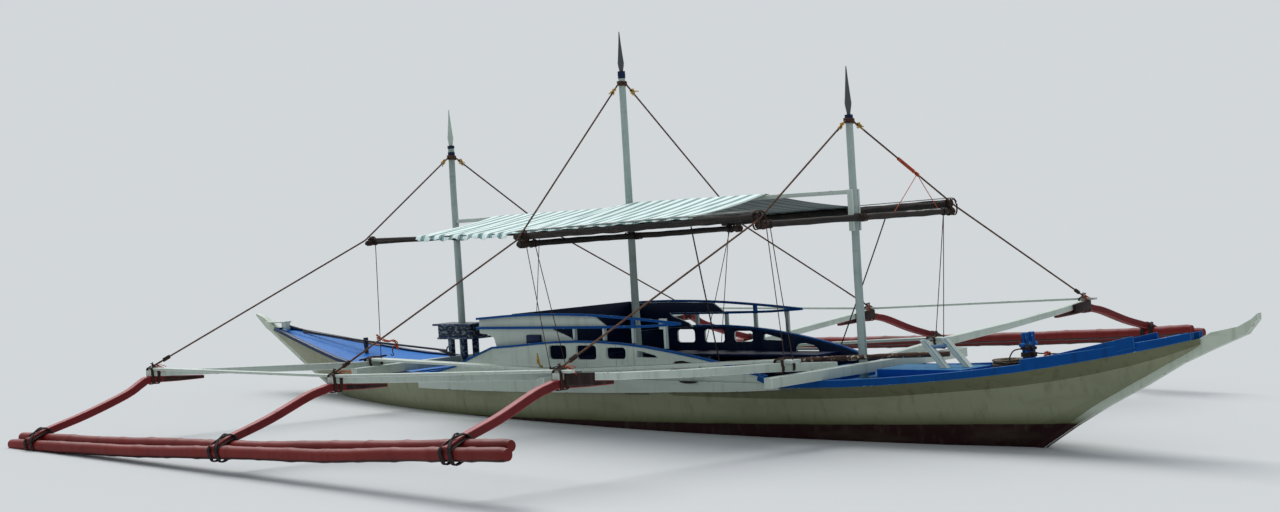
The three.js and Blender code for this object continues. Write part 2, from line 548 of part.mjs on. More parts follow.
// Eaves: a thin pole aft of the mid yard, let into the end of a thick one forward of it
const EAVE_R = { aft: 18, fore: 46 };
const onYard = (name, r) => YARDS[name].z + YARDS[name].r + r + GAP;
const BEAM = [[-20, 1665, onYard('mid', EAVE_R.fore)], [yardX('mid'), 1665, onYard('mid', EAVE_R.fore)],
  [yardX('fore') - 10, 1575, onYard('fore', EAVE_R.fore)],
  [yardX('fore') + 8, 1575, onYard('fore', EAVE_R.fore)]];
const thinEnd = BEAM[0][2] + EAVE_R.fore - EAVE_R.aft - 1;
const THIN = [[-2890, 1340, onYard('aft', EAVE_R.aft)], [yardX('aft'), 1350, onYard('aft', EAVE_R.aft)],
  [0, 1663, thinEnd]];
for (const [name, side] of Object.entries(SIDES)) {
  const pole = (rows, r, sides) => solid(tube(rows.map(([x, y, z]) => [x, side * y, z, r]), sides));
  add(`eave_pole_${name}`, surface(pole(BEAM, EAVE_R.fore, 10).add(pole(THIN, EAVE_R.aft, 8))), BARK);
}

// Canopy: two gabled cloths. A corner of the hem is set by its x, just outside the eave pole
const CLOTH_T = 9;
const HEM_OUT = 15;
const hemCorner = (rows, r, x) => [x, along(rows, x, 1), along(rows, x, 2) + r];
const outside = ([x, y, z], top) => {
  const t = (y + HEM_OUT) / y;
  return [x, y + HEM_OUT, top + (z - top) * t];
};
const mirrored = ([x, y, z]) => [x, -y, z];

// after cloth, flat on each side: three corners set the plane, and the ridge lies in it
const AFT_RIDGE = { from: -2150, to: -300, z: 2252 };
const aftSeat = [hemCorner(THIN, EAVE_R.aft + GAP * 2, -1880), hemCorner(THIN, EAVE_R.aft + GAP * 2, -160),
  [AFT_RIDGE.from, 0, AFT_RIDGE.z]];
const aftPlane = (x, y) => planeHeight(aftSeat, x, y);
const hem = aftSeat.slice(0, 2).map(([x, y]) => [x, y + HEM_OUT, aftPlane(x, y + HEM_OUT)]);
const aftNet = [hem[0], hem[1], aftSeat[2], [AFT_RIDGE.to, 0, aftPlane(AFT_RIDGE.to, 0)],
  mirrored(hem[0]), mirrored(hem[1])];
add('canopy_aft', sheet(aftNet, [[2, 3, 1], [2, 1, 0], [4, 5, 3], [4, 3, 2]], CLOTH_T), CLOTH);

// fore cloth, drawn up to the mast, with its fore edge cut on the slant
const FORE_RIDGE = [[-285, aftPlane(-285, 0)], [150, 2306], [2060, 2303]]; // x, z
const foreHem = (x) => outside(hemCorner(BEAM, EAVE_R.fore + GAP * 2, x), 2303);
const ridgePoints = FORE_RIDGE.map(([x, z]) => [x, 0, z]);
const foreNet = [foreHem(-145), foreHem(1950), ...ridgePoints, mirrored(foreHem(-145)), mirrored(foreHem(2470))];
const mastHole = solid(rod([MAST_X.mid, 0, 2000], [MAST_X.mid, 0, 2500], 60, 14));
const foreFaces = [[2, 3, 0], [3, 1, 0], [3, 4, 1], [5, 3, 2], [5, 6, 3], [6, 4, 3]];
add('canopy_fore', surface(solid(sheet(foreNet, foreFaces, CLOTH_T)).subtract(mastHole)), CLOTH);

// Ridge poles from mast to mast under the cloths
const RIDGE_POLE = { half: 24, depth: 45 };
function ridgePole(from, to, top) {
  const { half, depth } = RIDGE_POLE;
  const reach = (name) => mastRadius(name, top(MAST_X[name]) - depth) + GAP;
  return rail([MAST_X[from] + reach(from), MAST_X[to] - reach(to)], () => -half, () => half,
    (x) => top(x) - depth, top);
}
add('ridge_pole_aft', ridgePole('aft', 'mid', (x) => aftPlane(x, RIDGE_POLE.half) - GAP * 2), WHITE);
add('ridge_pole_fore', ridgePole('mid', 'fore', () => 2297), WHITE);

// Stays from each mast over the yard ends to the boom heads; the fore ones pass ahead of the eaves
const STAY_R = 11;
const STAY_AHEAD = { aft: 0, mid: 0, fore: 30 };
const BAND_Z = { aft: 3000, mid: 3640, fore: 2990 };
for (const [name, { half, z, r }] of Object.entries(YARDS)) {
  const bandR = mastRadius(name, BAND_Z[name] - 9) + 8.5 + GAP;
  const band = solid(new THREE.TorusGeometry(bandR / Math.cos(Math.PI / 20), 8.5, 8, 20)
    .translate(MAST_X[name], 0, BAND_Z[name]));
  const headTop = onBoom(name, HEAD_RAIL.outer) + HEAD_RAIL.thick;
  const fall = Math.atan2(z - headTop, HEAD_RAIL.inner - half);
  const legs = Object.values(SIDES).map((side) => solid(tube([
    [MAST_X[name], side * (MAST_R + 10), BAND_Z[name], STAY_R],
    [yardX(name) + STAY_AHEAD[name], side * (half + 10), z + r + 14, STAY_R],
    [wingX(name), side * 4245, headTop + STAY_R * Math.cos(fall) + 0.6, STAY_R]], 8)));
  add(`stays_${name}`, surface(band.add(legs[0]).add(legs[1])), ROPE);
}

// Foredeck fittings: bitts and the coil of rope beside them
const posts = [-55, 55].map((y) => solid(box(5135, 5185, y - 25, y + 25, deckTop(5185) + GAP, 850)));
const pin = solid(rod([5160, -140, 735], [5160, 140, 735], 20, 10));
add('bow_bitts', surface(posts[0].add(posts[1]).add(pin)), BLUE);
const COIL = { x: 4930, r: 120, half: 45, z: 0, height: 54 };
const coilBase = deckTop(COIL.x + COIL.r + COIL.half) + GAP;
const coilRing = [[COIL.r - COIL.half, 0], [COIL.r + COIL.half, 0], [COIL.r + COIL.half, COIL.height],
  [COIL.r - COIL.half, COIL.height], [COIL.r - COIL.half, 0]];
add('rope_coil', new THREE.LatheGeometry(coilRing.map(([r, z]) => new THREE.Vector2(r, z)), 20)
  .rotateX(Math.PI / 2).translate(COIL.x, 0, coilBase), ROPE);

// Loose spar lying from the starboard bench over the fore boom
const SPAR = { from: [1990, -715, 597.9], to: [4220, 55, 638], radius: 29 };
add('fore_spar', rod(SPAR.from, SPAR.to, SPAR.radius, 10), BARK);

// Fore hatch, with two boards raked aft on it that a round bar holds apart
const BOARD = { half: 38, thick: 34 };
const raked = (top, foot, y) => solid(loft([[top[0], top[1]], foot].map(([x, z]) => [
  [x - BOARD.thick, y - BOARD.half, z], [x + BOARD.thick, y - BOARD.half, z],
  [x + BOARD.thick, y + BOARD.half, z], [x - BOARD.thick, y + BOARD.half, z]])));
const hatchTop = deckTop(3560) + 100;
const stand = [raked([4040, 785], [4285, hatchTop], -110), raked([4193, 794], [4470, hatchTop], 10)];
const spreader = solid(rod([4105, -105, 715], [4262, 5, 722], 18, 10));
const hatchFore = hatch(3560, 4560, 260, 105).subtract(grown(foreDeck));
add('hatch_fore', surface(stand[0].add(stand[1]).add(spreader).add(hatchFore)), BLUE);

// Box round the aft mast, on legs over the boom and the deck, with a pointed board ahead of it
const boomTop = boomSeat('aft') + BOOM_W + GAP;
const MAST_BOX = { from: -3160, to: -2570, half: 140, bottom: 822, top: 965, board: 22 };
const { from: boxAft, to: boxFore, half: boxHalf, bottom: boxBottom, top: boxTop, board } = MAST_BOX;
const pieces = [
  box(boxAft, boxFore, -boxHalf, boxHalf, boxBottom, boxTop),
  box(boxAft - 80, boxFore + 30, -boxHalf - 20, boxHalf + 20, boxTop - 1, boxTop + board),
  box(boxAft - 10, boxFore + 60, -boxHalf - 15, boxHalf + 15, boxBottom - board, boxBottom + 1),
  plate([[-2560, 940], [-2300, 968], [-2232, 1045], [-2260, 1052], [-2560, boxTop + board]], -55, 55),
  ...[-1, 1].flatMap((side) => [
    box(-3010, -2950, side * 62, side * 122, boomTop + GAP, boxBottom - 5),
    box(-2780, -2720, side * 62, side * 122, deckTop(-2780) + 4 + GAP, boxBottom - 5)])];
const mastWay = solid(rod([MAST_X.aft, 0, 700], [MAST_X.aft, 0, 1100], MAST_R + 2, 16));
add('mast_box', surface(pieces.reduce((sum, piece) => sum.add(solid(piece)), solid(pieces[0]))
  .subtract(mastWay)), NAVY);

export default craft;
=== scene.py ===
"""A double-outrigger motor canoe afloat: paint, timber, bamboo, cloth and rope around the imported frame.

Metres, +X to the bow, +Y to port, +Z up. The floor is the still water that the hull lies in."""
import math
import random

import bpy
from mathutils import Matrix, Vector, noise


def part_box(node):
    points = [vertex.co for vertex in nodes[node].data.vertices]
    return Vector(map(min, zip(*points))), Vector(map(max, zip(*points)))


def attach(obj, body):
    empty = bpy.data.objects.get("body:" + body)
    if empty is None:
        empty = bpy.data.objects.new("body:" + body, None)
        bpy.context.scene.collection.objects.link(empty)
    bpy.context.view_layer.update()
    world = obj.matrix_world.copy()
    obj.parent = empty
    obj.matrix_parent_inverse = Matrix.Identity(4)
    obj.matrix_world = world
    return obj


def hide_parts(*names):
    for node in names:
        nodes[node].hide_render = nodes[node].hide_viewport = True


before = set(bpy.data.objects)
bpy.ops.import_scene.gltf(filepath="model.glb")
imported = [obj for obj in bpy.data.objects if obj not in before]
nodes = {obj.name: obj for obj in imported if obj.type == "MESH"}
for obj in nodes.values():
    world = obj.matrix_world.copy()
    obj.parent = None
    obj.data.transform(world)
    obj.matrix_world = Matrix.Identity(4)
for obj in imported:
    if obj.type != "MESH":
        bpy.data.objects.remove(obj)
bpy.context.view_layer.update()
SIDES = {"port": 1, "starboard": -1}
SEED = 7
chance = random.Random(SEED)

# Camera: heel, trim and yaw of the boat, as it lies in the view
YAW, HEEL, TRIM, TILT = (math.radians(a) for a in (43.65, 3.12, 1.87, 0.284))
LEVEL = Matrix.Rotation(-YAW, 3, "Z") @ Matrix.Rotation(-TRIM, 3, "Y") @ Matrix.Rotation(HEEL, 3, "X")
EYE = (0.0285, -22.55, 1.826)  # metres to the right, away and up from the boat's origin
LENS, SENSOR, FAR = 56.7, 36.0, 900
WATER_Z = -0.08
WATER_SLOPE = (-0.03, -0.025)  # rise of the water along the boat's X and Y


def in_boat(level):
    """A direction or place given to the right, away from the camera and up, in the boat's own axes."""
    return LEVEL.transposed() @ Vector(level)


def placed(obj, right, up, back, at):
    matrix = Matrix([right, up, back]).transposed().to_4x4()
    matrix.translation = at
    obj.matrix_world = matrix


bpy.ops.object.select_all(action="DESELECT")
bpy.ops.object.camera_add()
camera = bpy.context.object
camera.name = "photo_camera"
camera.data.lens = LENS
camera.data.sensor_width = SENSOR
camera.data.clip_end = FAR
placed(camera, in_boat((1, 0, 0)), in_boat((0, math.sin(TILT), math.cos(TILT))),
       in_boat((0, -math.cos(TILT), math.sin(TILT))), in_boat(EYE))
bpy.context.scene.camera = camera

# Helpers: selecting, shaping and finishing a mesh


def only(obj):
    bpy.ops.object.select_all(action="DESELECT")
    obj.select_set(True)
    bpy.context.view_layer.objects.active = obj
    return obj


def settled(obj):
    """The object's turn and size taken into its mesh."""
    only(obj)
    bpy.ops.object.transform_apply(location=True, rotation=True, scale=True)
    return obj


def eased(obj, width, segments=2, angle=30):
    """Worn, rounded edges; where the mesh has a second paint, they show it, and the lighter edge paints are
    wear with a painted highlight.
    """
    bevel = only(obj).modifiers.new("eased", "BEVEL")
    bevel.width = width
    bevel.segments = segments
    bevel.limit_method = "ANGLE"
    bevel.angle_limit = math.radians(angle)
    bevel.use_clamp_overlap = False
    bevel.material = 1 if len(obj.data.materials) > 1 else -1
    bpy.ops.object.modifier_apply(modifier=bevel.name)
    return obj


def open_mesh(obj):
    """Into edit mode, with all selected."""
    only(obj)
    bpy.ops.object.mode_set(mode="EDIT")
    bpy.ops.mesh.select_all(action="SELECT")


def close_mesh():
    bpy.ops.object.mode_set(mode="OBJECT")


def faced_out(obj):
    open_mesh(obj)
    bpy.ops.mesh.normals_make_consistent(inside=False)
    close_mesh()


def pick(obj, test):
    """Selects the faces that pass the test and leaves the mesh in edit mode."""
    open_mesh(obj)
    bpy.ops.mesh.select_mode(type="FACE")
    bpy.ops.mesh.select_all(action="DESELECT")
    close_mesh()
    for face in obj.data.polygons:
        face.select = test(face)
    bpy.ops.object.mode_set(mode="EDIT")


def joined(parts):
    bpy.ops.object.select_all(action="DESELECT")
    for part in parts:
        part.select_set(True)
    bpy.context.view_layer.objects.active = parts[0]
    bpy.ops.object.join()
    return parts[0]


def painted_with(obj, *paints):
    for paint in paints:
        obj.data.materials.append(paint)
    return obj


def piece(obj, name, stands_for=(), body="root", smooth=30):
    """Names a finished mesh, shades it smooth by angle, hangs it on the body it rides on and hides the solids
    it stands for.
    """
    settled(obj)
    if smooth:
        bpy.ops.object.shade_smooth_by_angle(angle=math.radians(smooth))
    obj.name = name
    obj.data.name = name
    if stands_for:
        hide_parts(*stands_for)
    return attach(obj, body)


def board(start, end, width, thick, *paints, ease=0.003):
    """A squared timber from point to point, its thickness upright."""
    run = Vector(end) - Vector(start)
    bpy.ops.mesh.primitive_cube_add(size=1, location=(0, 0, 0))
    made = bpy.context.object
    for vertex in made.data.vertices:
        vertex.co = (vertex.co.x * run.length, vertex.co.y * width, vertex.co.z * thick)
    x = run.normalized()
    y = Vector((0, 0, 1)).cross(x).normalized()
    turn = Matrix([x, y, x.cross(y)]).transposed().to_4x4()
    made.matrix_world = Matrix.Translation((Vector(start) + Vector(end)) / 2) @ turn
    return eased(settled(painted_with(made, *paints)), ease)


def block(low, high, *paints, ease=0.004):
    """A squared block between two corners."""
    centre = (Vector(low) + Vector(high)) / 2
    bpy.ops.mesh.primitive_cube_add(size=1, location=centre)
    made = bpy.context.object
    made.scale = Vector(high) - Vector(low)
    return eased(painted_with(settled(made), *paints), ease)


def side_block(side, x, y, z, *paints, ease=0.004):
    """A block on one side of the boat: x, y and z are its ends, y counted out from the middle."""
    near, far = sorted((side * y[0], side * y[1]))
    return block((x[0], near, z[0]), (x[1], far, z[1]), *paints, ease=ease)


# Helpers: lines, ropes and round poles


def even(points, step):
    """The same line with a point at each step along it."""
    points = [Vector(p) for p in points]
    lengths = [(b - a).length for a, b in zip(points, points[1:])]
    count = max(2, round(sum(lengths) / step))
    spacing = sum(lengths) / count
    made, i, done = [points[0]], 0, 0.0
    for k in range(1, count):
        while done + lengths[i] < k * spacing:
            done += lengths[i]
            i += 1
        made.append(points[i].lerp(points[i + 1], (k * spacing - done) / lengths[i]))
    return made + [points[-1]]


def curved(points, per_span):
    """A smooth line through the points."""
    points = [Vector(p) for p in points]
    padded = [points[0] * 2 - points[1], *points, points[-1] * 2 - points[-2]]
    made = []
    for a, b, c, d in zip(padded, padded[1:], padded[2:], padded[3:]):
        for k in range(per_span):
            t = k / per_span
            made.append(0.5 * (2 * b + (c - a) * t + (2 * a - 5 * b + 4 * c - d) * t * t
                               + (3 * b - a - 3 * c + d) * t ** 3))
    return made + [points[-1]]


def hanging(a, b, sag):
    """A line between two points that sags by its own weight."""
    a, b = Vector(a), Vector(b)
    shares = [k / 12 for k in range(13)]
    return [a.lerp(b, t) - Vector((0, 0, 4 * sag * t * (1 - t))) for t in shares]


PER_TURN = 16  # points in one turn of a cord


def wound(at, along, half, turns, spacing, up=(0, 0, 1), start=0.0, square=4):
    """Turns of a cord round a squared bar; half is half the bar's width and height, with the cord."""
    axis = Vector(along).normalized()
    side = axis.cross(Vector(up)).normalized()
    top = side.cross(axis)
    made = []
    for i in range(turns * PER_TURN + 1):
        a = start + 2 * math.pi * i / PER_TURN
        across = half[0] * math.copysign(abs(math.cos(a)) ** (2 / square), math.cos(a))
        height = half[1] * math.copysign(abs(math.sin(a)) ** (2 / square), math.sin(a))
        shift = spacing * (i / PER_TURN - turns / 2)
        made.append(Vector(at) + axis * shift + side * across + top * height)
    return made


def knot(at, size, turn=0.0):
    """An overhand knot drawn tight."""
    made, steps = [], 30
    for i in range(steps - 1):
        t = 2 * math.pi * i / steps
        x, y = math.sin(t) + 2 * math.sin(2 * t), math.cos(t) - 2 * math.cos(2 * t)
        p = Vector((x, y, -1.3 * math.sin(3 * t))) * size / 5
        made.append(Vector(at) + Matrix.Rotation(turn, 3, "Z") @ Matrix.Rotation(1.2, 3, "X") @ p)
    return made


def tuft(at, toward, length, yarns=7, spread=0.5):
    """The frayed yarns at a rope's cut end."""
    made = []
    for _ in range(yarns):
        out = Vector(toward).normalized() + Vector([chance.uniform(-spread, spread) for _ in range(3)])
        end = Vector(at) + out * length * chance.uniform(0.6, 1.0) - Vector((0, 0, 0.25 * length))
        made.append(curved([at, Vector(at).lerp(end, 0.5) + Vector((0, 0, 0.1 * length)), end], 4))
    return made


GROOVE = 0.22  # depth of the grooves between a rope's strands, as a share of its radius
LAY = 7.0  # how far a strand runs in one turn, in radii


def outline_curve(radius, strands):
    """The section of a laid rope, strands side by side, or of a plain cord where strands is 0."""
    bpy.ops.curve.primitive_bezier_circle_add(radius=radius)
    made = bpy.context.object
    made.data.splines.clear()
    ring = made.data.splines.new("POLY")
    count = 4 * strands if strands else 7
    ring.points.add(count - 1)
    for i, point in enumerate(ring.points):
        a = 2 * math.pi * i / count
        r = radius * (1 - GROOVE + GROOVE * abs(math.cos(strands * a / 2))) if strands else radius
        point.co = (r * math.cos(a), r * math.sin(a), 0, 1)
    ring.use_cyclic_u = True
    return made


def empty_curve():
    bpy.ops.curve.primitive_nurbs_path_add(location=(0, 0, 0))
    data = bpy.context.object.data
    data.splines.clear()
    data.dimensions = "3D"
    data.use_fill_caps = True
    return bpy.context.object, data


def cordage(lines, radius, paint, strands=3, step=1.3):
    """Laid ropes as one mesh; step is the spacing of rings in radii."""
    section = outline_curve(radius, strands)
    rope, data = empty_curve()
    data.bevel_mode = "OBJECT"
    data.bevel_object = section
    for line in lines:
        line = even(line, radius * step)
        spline = data.splines.new("POLY")
        spline.points.add(len(line) - 1)
        run = 0.0
        for i, (point, at) in enumerate(zip(spline.points, line)):
            run += (at - line[i - 1]).length if i else 0.0
            point.co = (*at, 1)
            point.tilt = 2 * math.pi * run / (radius * LAY) if strands else 0.0
    only(rope)
    bpy.ops.object.convert(target="MESH")
    bpy.data.objects.remove(section)
    return painted_with(only(rope), paint)


def ropes(name, lines, radius, paint, stands_for=(), body="root", **form):
    """Cordage as a finished piece."""
    return piece(cordage(lines, radius, paint, **form), name, stands_for, body, 60)


WALL = 0.16  # a cane's wall as a share of its radius
HOLLOW_DEPTH = 0.09


def swept(rows, paint, sides, open_ends=None, rough=0.0, grain=(3, 3, 3)):
    """A round pole through rows of point and radius; rough moves its skin; open_ends paints its hollow ends
    dark, a painted shade.
    """
    pole, data = empty_curve()
    data.bevel_depth = 1.0
    data.bevel_resolution = sides
    spline = data.splines.new("POLY")
    spline.points.add(len(rows) - 1)
    for point, (at, radius) in zip(spline.points, rows):
        point.co = (*at, 1)
        point.radius = radius
    only(pole)
    bpy.ops.object.convert(target="MESH")
    painted_with(pole, *([paint, open_ends] if open_ends else [paint]))
    open_mesh(pole)
    bpy.ops.mesh.remove_doubles(threshold=0.0001)
    close_mesh()
    if open_ends:
        pick(pole, lambda face: len(face.vertices) > 4)
        bpy.ops.mesh.inset(thickness=rows[0][1] * WALL)
        bpy.context.object.active_material_index = 1
        bpy.ops.object.material_slot_assign()
        bpy.ops.mesh.extrude_region_shrink_fatten(TRANSFORM_OT_shrink_fatten={"value": -HOLLOW_DEPTH})
        close_mesh()
    if rough:
        for vertex in pole.data.vertices:
            at = Vector([a * b for a, b in zip(vertex.co, grain)])
            vertex.co += vertex.normal * rough * noise.noise(at)
    return pole


# Shader helpers


def rgb(r, g, b):
    """A colour from its sRGB numbers, 0 to 255."""
    linear = [v / 255 / 12.92 if v <= 10 else ((v / 255 + 0.055) / 1.055) ** 2.4 for v in (r, g, b)]
    return (*linear, 1)


def add(tree, kind, inputs=None, **settings):
    """A new node: settings are its own properties; inputs are values, or sockets to link from."""
    node = tree.nodes.new("ShaderNode" + kind)
    for key, value in settings.items():
        setattr(node, key, value)
    for key, value in (inputs or {}).items():
        if isinstance(value, bpy.types.NodeSocket):
            tree.links.new(value, node.inputs[key])
        else:
            node.inputs[key].default_value = value
    return node


def math_node(tree, operation, a, b=0.0, clamp=False):
    return add(tree, "Math", {0: a, 1: b}, operation=operation, use_clamp=clamp).outputs[0]


def times(tree, a, b, clamp=False):
    return math_node(tree, "MULTIPLY", a, b, clamp)


def plus(tree, a, b, clamp=False):
    return math_node(tree, "ADD", a, b, clamp)


def minus(tree, a, b):
    return math_node(tree, "SUBTRACT", a, b)


def cloud(tree, vector, scale, detail, roughness=0.55):
    return add(tree, "TexNoise", {"Vector": vector, "Scale": scale, "Detail": detail,
                                  "Roughness": roughness}).outputs["Fac"]


def stretched(tree, vector, factors):
    return add(tree, "VectorMath", {0: vector, 1: factors}, operation="MULTIPLY").outputs[0]


def ramp(tree, value, low, high):
    return add(tree, "MapRange", {"Value": value, "From Min": low, "From Max": high}).outputs[0]


def blend_colour(tree, factor, a, b, mode="MIX"):
    return add(tree, "Mix", {0: factor, 6: a, 7: b}, data_type="RGBA", blend_type=mode).outputs[2]


KINDS = {"float": "NodeSocketFloat", "colour": "NodeSocketColor", "vector": "NodeSocketVector"}


def group(name, inputs, outputs):
    """An empty node group: inputs are rows of label, kind and default; outputs of label and kind."""
    tree = bpy.data.node_groups.new(name, "ShaderNodeTree")
    for label, kind, default in inputs:
        tree.interface.new_socket(label, in_out="INPUT", socket_type=KINDS[kind]).default_value = default
    for label, kind in outputs:
        tree.interface.new_socket(label, in_out="OUTPUT", socket_type=KINDS[kind])
    return tree, tree.nodes.new("NodeGroupInput").outputs, tree.nodes.new("NodeGroupOutput").inputs


BLANK = (1, 1, 1, 1)
BLACK = (0, 0, 0, 1)
TONE_SHADE = (0.34, 0.36, 0.32, 1)


def paint_group():
    """Brushed marine paint: broad changes of tone, dirt run down it, chips through to what lies under it."""
    tree, given, out = group(
        "worn paint",
        [("Paint", "colour", BLANK), ("Under", "colour", BLANK), ("Dirt", "colour", BLACK),
         ("Chips", "float", 0.2), ("Runs", "float", 0.3), ("Tone", "float", 0.15)],
        [("Color", "colour"), ("Roughness", "float"), ("Height", "float")])
    place = add(tree, "TexCoord").outputs["Object"]
    broad = cloud(tree, stretched(tree, place, (0.5, 0.9, 1.4)), 1.0, 2, 0.5)
    dark = blend_colour(tree, given["Tone"], given["Paint"], TONE_SHADE, "MULTIPLY")
    toned = blend_colour(tree, ramp(tree, broad, 0.3, 0.75), given["Paint"], dark)
    run = ramp(tree, cloud(tree, stretched(tree, place, (14, 14, 1.1)), 1.0, 4), 0.52, 0.8)
    smear = ramp(tree, cloud(tree, stretched(tree, place, (1.2, 2, 5)), 1.0, 4), 0.55, 0.8)
    dirty = times(tree, math_node(tree, "MAXIMUM", run, smear), given["Runs"], True)
    stained = blend_colour(tree, dirty, toned, given["Dirt"])
    edge = minus(tree, 0.80, times(tree, given["Chips"], 0.36))
    flakes = cloud(tree, stretched(tree, place, (0.7, 1, 1.8)), 21, 7, 0.66)
    bare = ramp(tree, flakes, edge, plus(tree, edge, 0.02))
    tree.links.new(blend_colour(tree, bare, stained, given["Under"]), out["Color"])
    rough = plus(tree, 0.50, times(tree, dirty, 0.25))
    tree.links.new(plus(tree, rough, times(tree, bare, 0.3), True), out["Roughness"])
    brush = cloud(tree, stretched(tree, place, (3, 60, 60)), 1.0, 2)
    tree.links.new(minus(tree, times(tree, brush, 0.3), bare), out["Height"])
    return tree


def grain_group():
    """Long fibres of wood, cane or bark along one axis."""
    tree, given, out = group(
        "long grain",
        [("Light", "colour", BLANK), ("Dark", "colour", BLACK), ("Across", "vector", (1, 40, 40)),
         ("Flecks", "float", 0.3)],
        [("Color", "colour"), ("Height", "float"), ("Fleck", "float")])
    place = add(tree, "TexCoord").outputs["Object"]
    fibre = cloud(tree, stretched(tree, place, given["Across"]), 1.0, 6, 0.6)
    broad = cloud(tree, place, 4.0, 3)
    mixed = plus(tree, times(tree, fibre, 0.75), times(tree, broad, 0.25))
    colour = blend_colour(tree, ramp(tree, mixed, 0.38, 0.62), given["Dark"], given["Light"])
    spots = ramp(tree, cloud(tree, place, 23, 6, 0.7), 0.58, 0.63)
    tree.links.new(colour, out["Color"])
    tree.links.new(fibre, out["Height"])
    tree.links.new(times(tree, spots, given["Flecks"]), out["Fleck"])
    return tree


PAINT = paint_group()
GRAIN = grain_group()


def material(name):
    made = bpy.data.materials.new(name)
    made.use_nodes = True
    tree = made.node_tree
    return made, tree, tree.nodes["Principled BSDF"].inputs


def use(tree, which, **inputs):
    node = tree.nodes.new("ShaderNodeGroup")
    node.node_tree = which
    for key, value in inputs.items():
        node.inputs[key].default_value = value
    return node.outputs


def bump(tree, height, strength, distance, shader):
    made = add(tree, "Bump", {"Height": height, "Strength": strength, "Distance": distance})
    tree.links.new(made.outputs[0], shader["Normal"])


SOFT_GLOSS = 0.22
DECK_GLOSS = 0.06
TRIM_GLOSS = 0.08
WATER_REFLECTION_SHADE = (86, 92, 58)


def painted(name, paint, under, dirt=(96, 92, 72), chips=0.2, runs=0.35, tone=0.2, lower=None,
            gloss=SOFT_GLOSS):
    """Worn paint; lower is the boot-top's colour, which shows under the waterline, and above it the paint
    darkens and greens towards the water: painted shade and water reflection.
    """
    made, tree, shader = material(name)
    worn = use(tree, PAINT, Paint=rgb(*paint), Under=rgb(*under), Dirt=rgb(*dirt), Chips=chips, Runs=runs,
               Tone=tone)
    colour = worn["Color"]
    if lower:
        place = add(tree, "TexCoord").outputs["Object"]
        height = add(tree, "SeparateXYZ", {0: place}).outputs["Z"]
        level = plus(tree, height, times(tree, minus(tree, cloud(tree, place, 3.0, 5), 0.5), 0.03))
        # A greenish darkening over the lowest 0.3 m: painted shade and painted reflection of the water.
        reflection_shade = blend_colour(tree, ramp(tree, level, 0.14, 0.0), colour, rgb(*WATER_REFLECTION_SHADE))
        colour = blend_colour(tree, ramp(tree, level, 0.30, 0.0), colour, reflection_shade)
        colour = blend_colour(tree, ramp(tree, level, 0.004, -0.004), colour, rgb(*lower))
    tree.links.new(colour, shader["Base Color"])
    tree.links.new(worn["Roughness"], shader["Roughness"])
    shader["Specular IOR Level"].default_value = gloss
    bump(tree, worn["Height"], 0.35, 0.0015, shader)
    return made


def timber(name, light, dark, across, fleck=(214, 208, 190), flecks=0.0):
    made, tree, shader = material(name)
    wood = use(tree, GRAIN, Light=rgb(*light), Dark=rgb(*dark), Across=across, Flecks=flecks)
    tree.links.new(blend_colour(tree, wood["Fleck"], wood["Color"], rgb(*fleck)), shader["Base Color"])
    shader["Roughness"].default_value = 0.8
    bump(tree, wood["Height"], 0.6, 0.003, shader)
    return made


# Paints: colour, what shows where it has chipped, dirt
MAROON = (40, 10, 14)
WHITE = painted("white paint", (194, 206, 196), (120, 112, 92), (104, 108, 92), chips=0.10, runs=0.3,
                tone=0.25)
# Edge paints: lighter than their body paint, a painted highlight, with chips of real wear.
WHITE_EDGE_WEAR_AND_HIGHLIGHT = painted("white paint rubbed at the edges", (222, 230, 226), (132, 122, 100), chips=0.55,
                     runs=0.15)
# The topsides' white given greyed and greened: painted shade and painted water reflection.
HULL_WHITE_PAINTED_SHADE = painted("hull cream", (146, 150, 122), (92, 90, 66), (88, 88, 58), chips=0.05, runs=0.45, tone=0.35,
               lower=MAROON)
# Darker paint on the flare under the rail: painted shade.
HULL_BAND_PAINTED_SHADE = painted("shaded band under the rail", (118, 120, 92), (84, 80, 58), (70, 70, 46), chips=0.06,
                    runs=0.5, tone=0.4)
STEM = painted("stem white", (196, 206, 190), (110, 104, 84), (96, 100, 76), chips=0.25, runs=0.4,
               lower=MAROON)
BOOT = painted("boot-top maroon", MAROON, (40, 30, 24), chips=0.25)
BLUE = painted("trim blue", (6, 74, 146), (130, 166, 196), (12, 38, 62), chips=0.22, runs=0.4, tone=0.35,
               gloss=TRIM_GLOSS)
# Lighter blue on edges: painted highlight with wear.
BLUE_EDGE_WEAR_AND_HIGHLIGHT = painted("trim blue rubbed at the edges", (44, 112, 176), (206, 220, 226), chips=0.5,
                    gloss=TRIM_GLOSS)
SKY = painted("stern deck blue", (14, 108, 190), (140, 192, 224), (22, 76, 122), chips=0.3, runs=0.4,
              gloss=DECK_GLOSS)
NAVY = painted("navy", (8, 30, 66), (40, 62, 84), (8, 12, 24), chips=0.18, tone=0.5)
# Lighter navy on edges: painted highlight with wear.
NAVY_EDGE_WEAR_AND_HIGHLIGHT = painted("navy on edges, rubbed and lightened as painted highlight", (24, 56, 124), (110, 128, 150), chips=0.5)
AQUA = painted("foredeck aqua", (62, 130, 178), (186, 206, 210), (34, 70, 104), chips=0.35, runs=0.6,
               tone=0.4, gloss=DECK_GLOSS)
DEEP_BLUE = painted("hatch blue", (10, 78, 168), (120, 160, 200), (14, 40, 84), chips=0.25, tone=0.35,
                    gloss=TRIM_GLOSS)
CRIMSON = painted("outrigger red", (112, 24, 28), (60, 22, 22), (44, 10, 12), chips=0.25, runs=0.5,
                  tone=0.5)
# Lighter red for the arms' tops: a painted highlight.
CRIMSON_TOP_HIGHLIGHT = painted("outrigger red lightened on top as painted highlight", (150, 62, 66), (90, 40, 38), (84, 28, 30),
                      chips=0.3, runs=0.4)
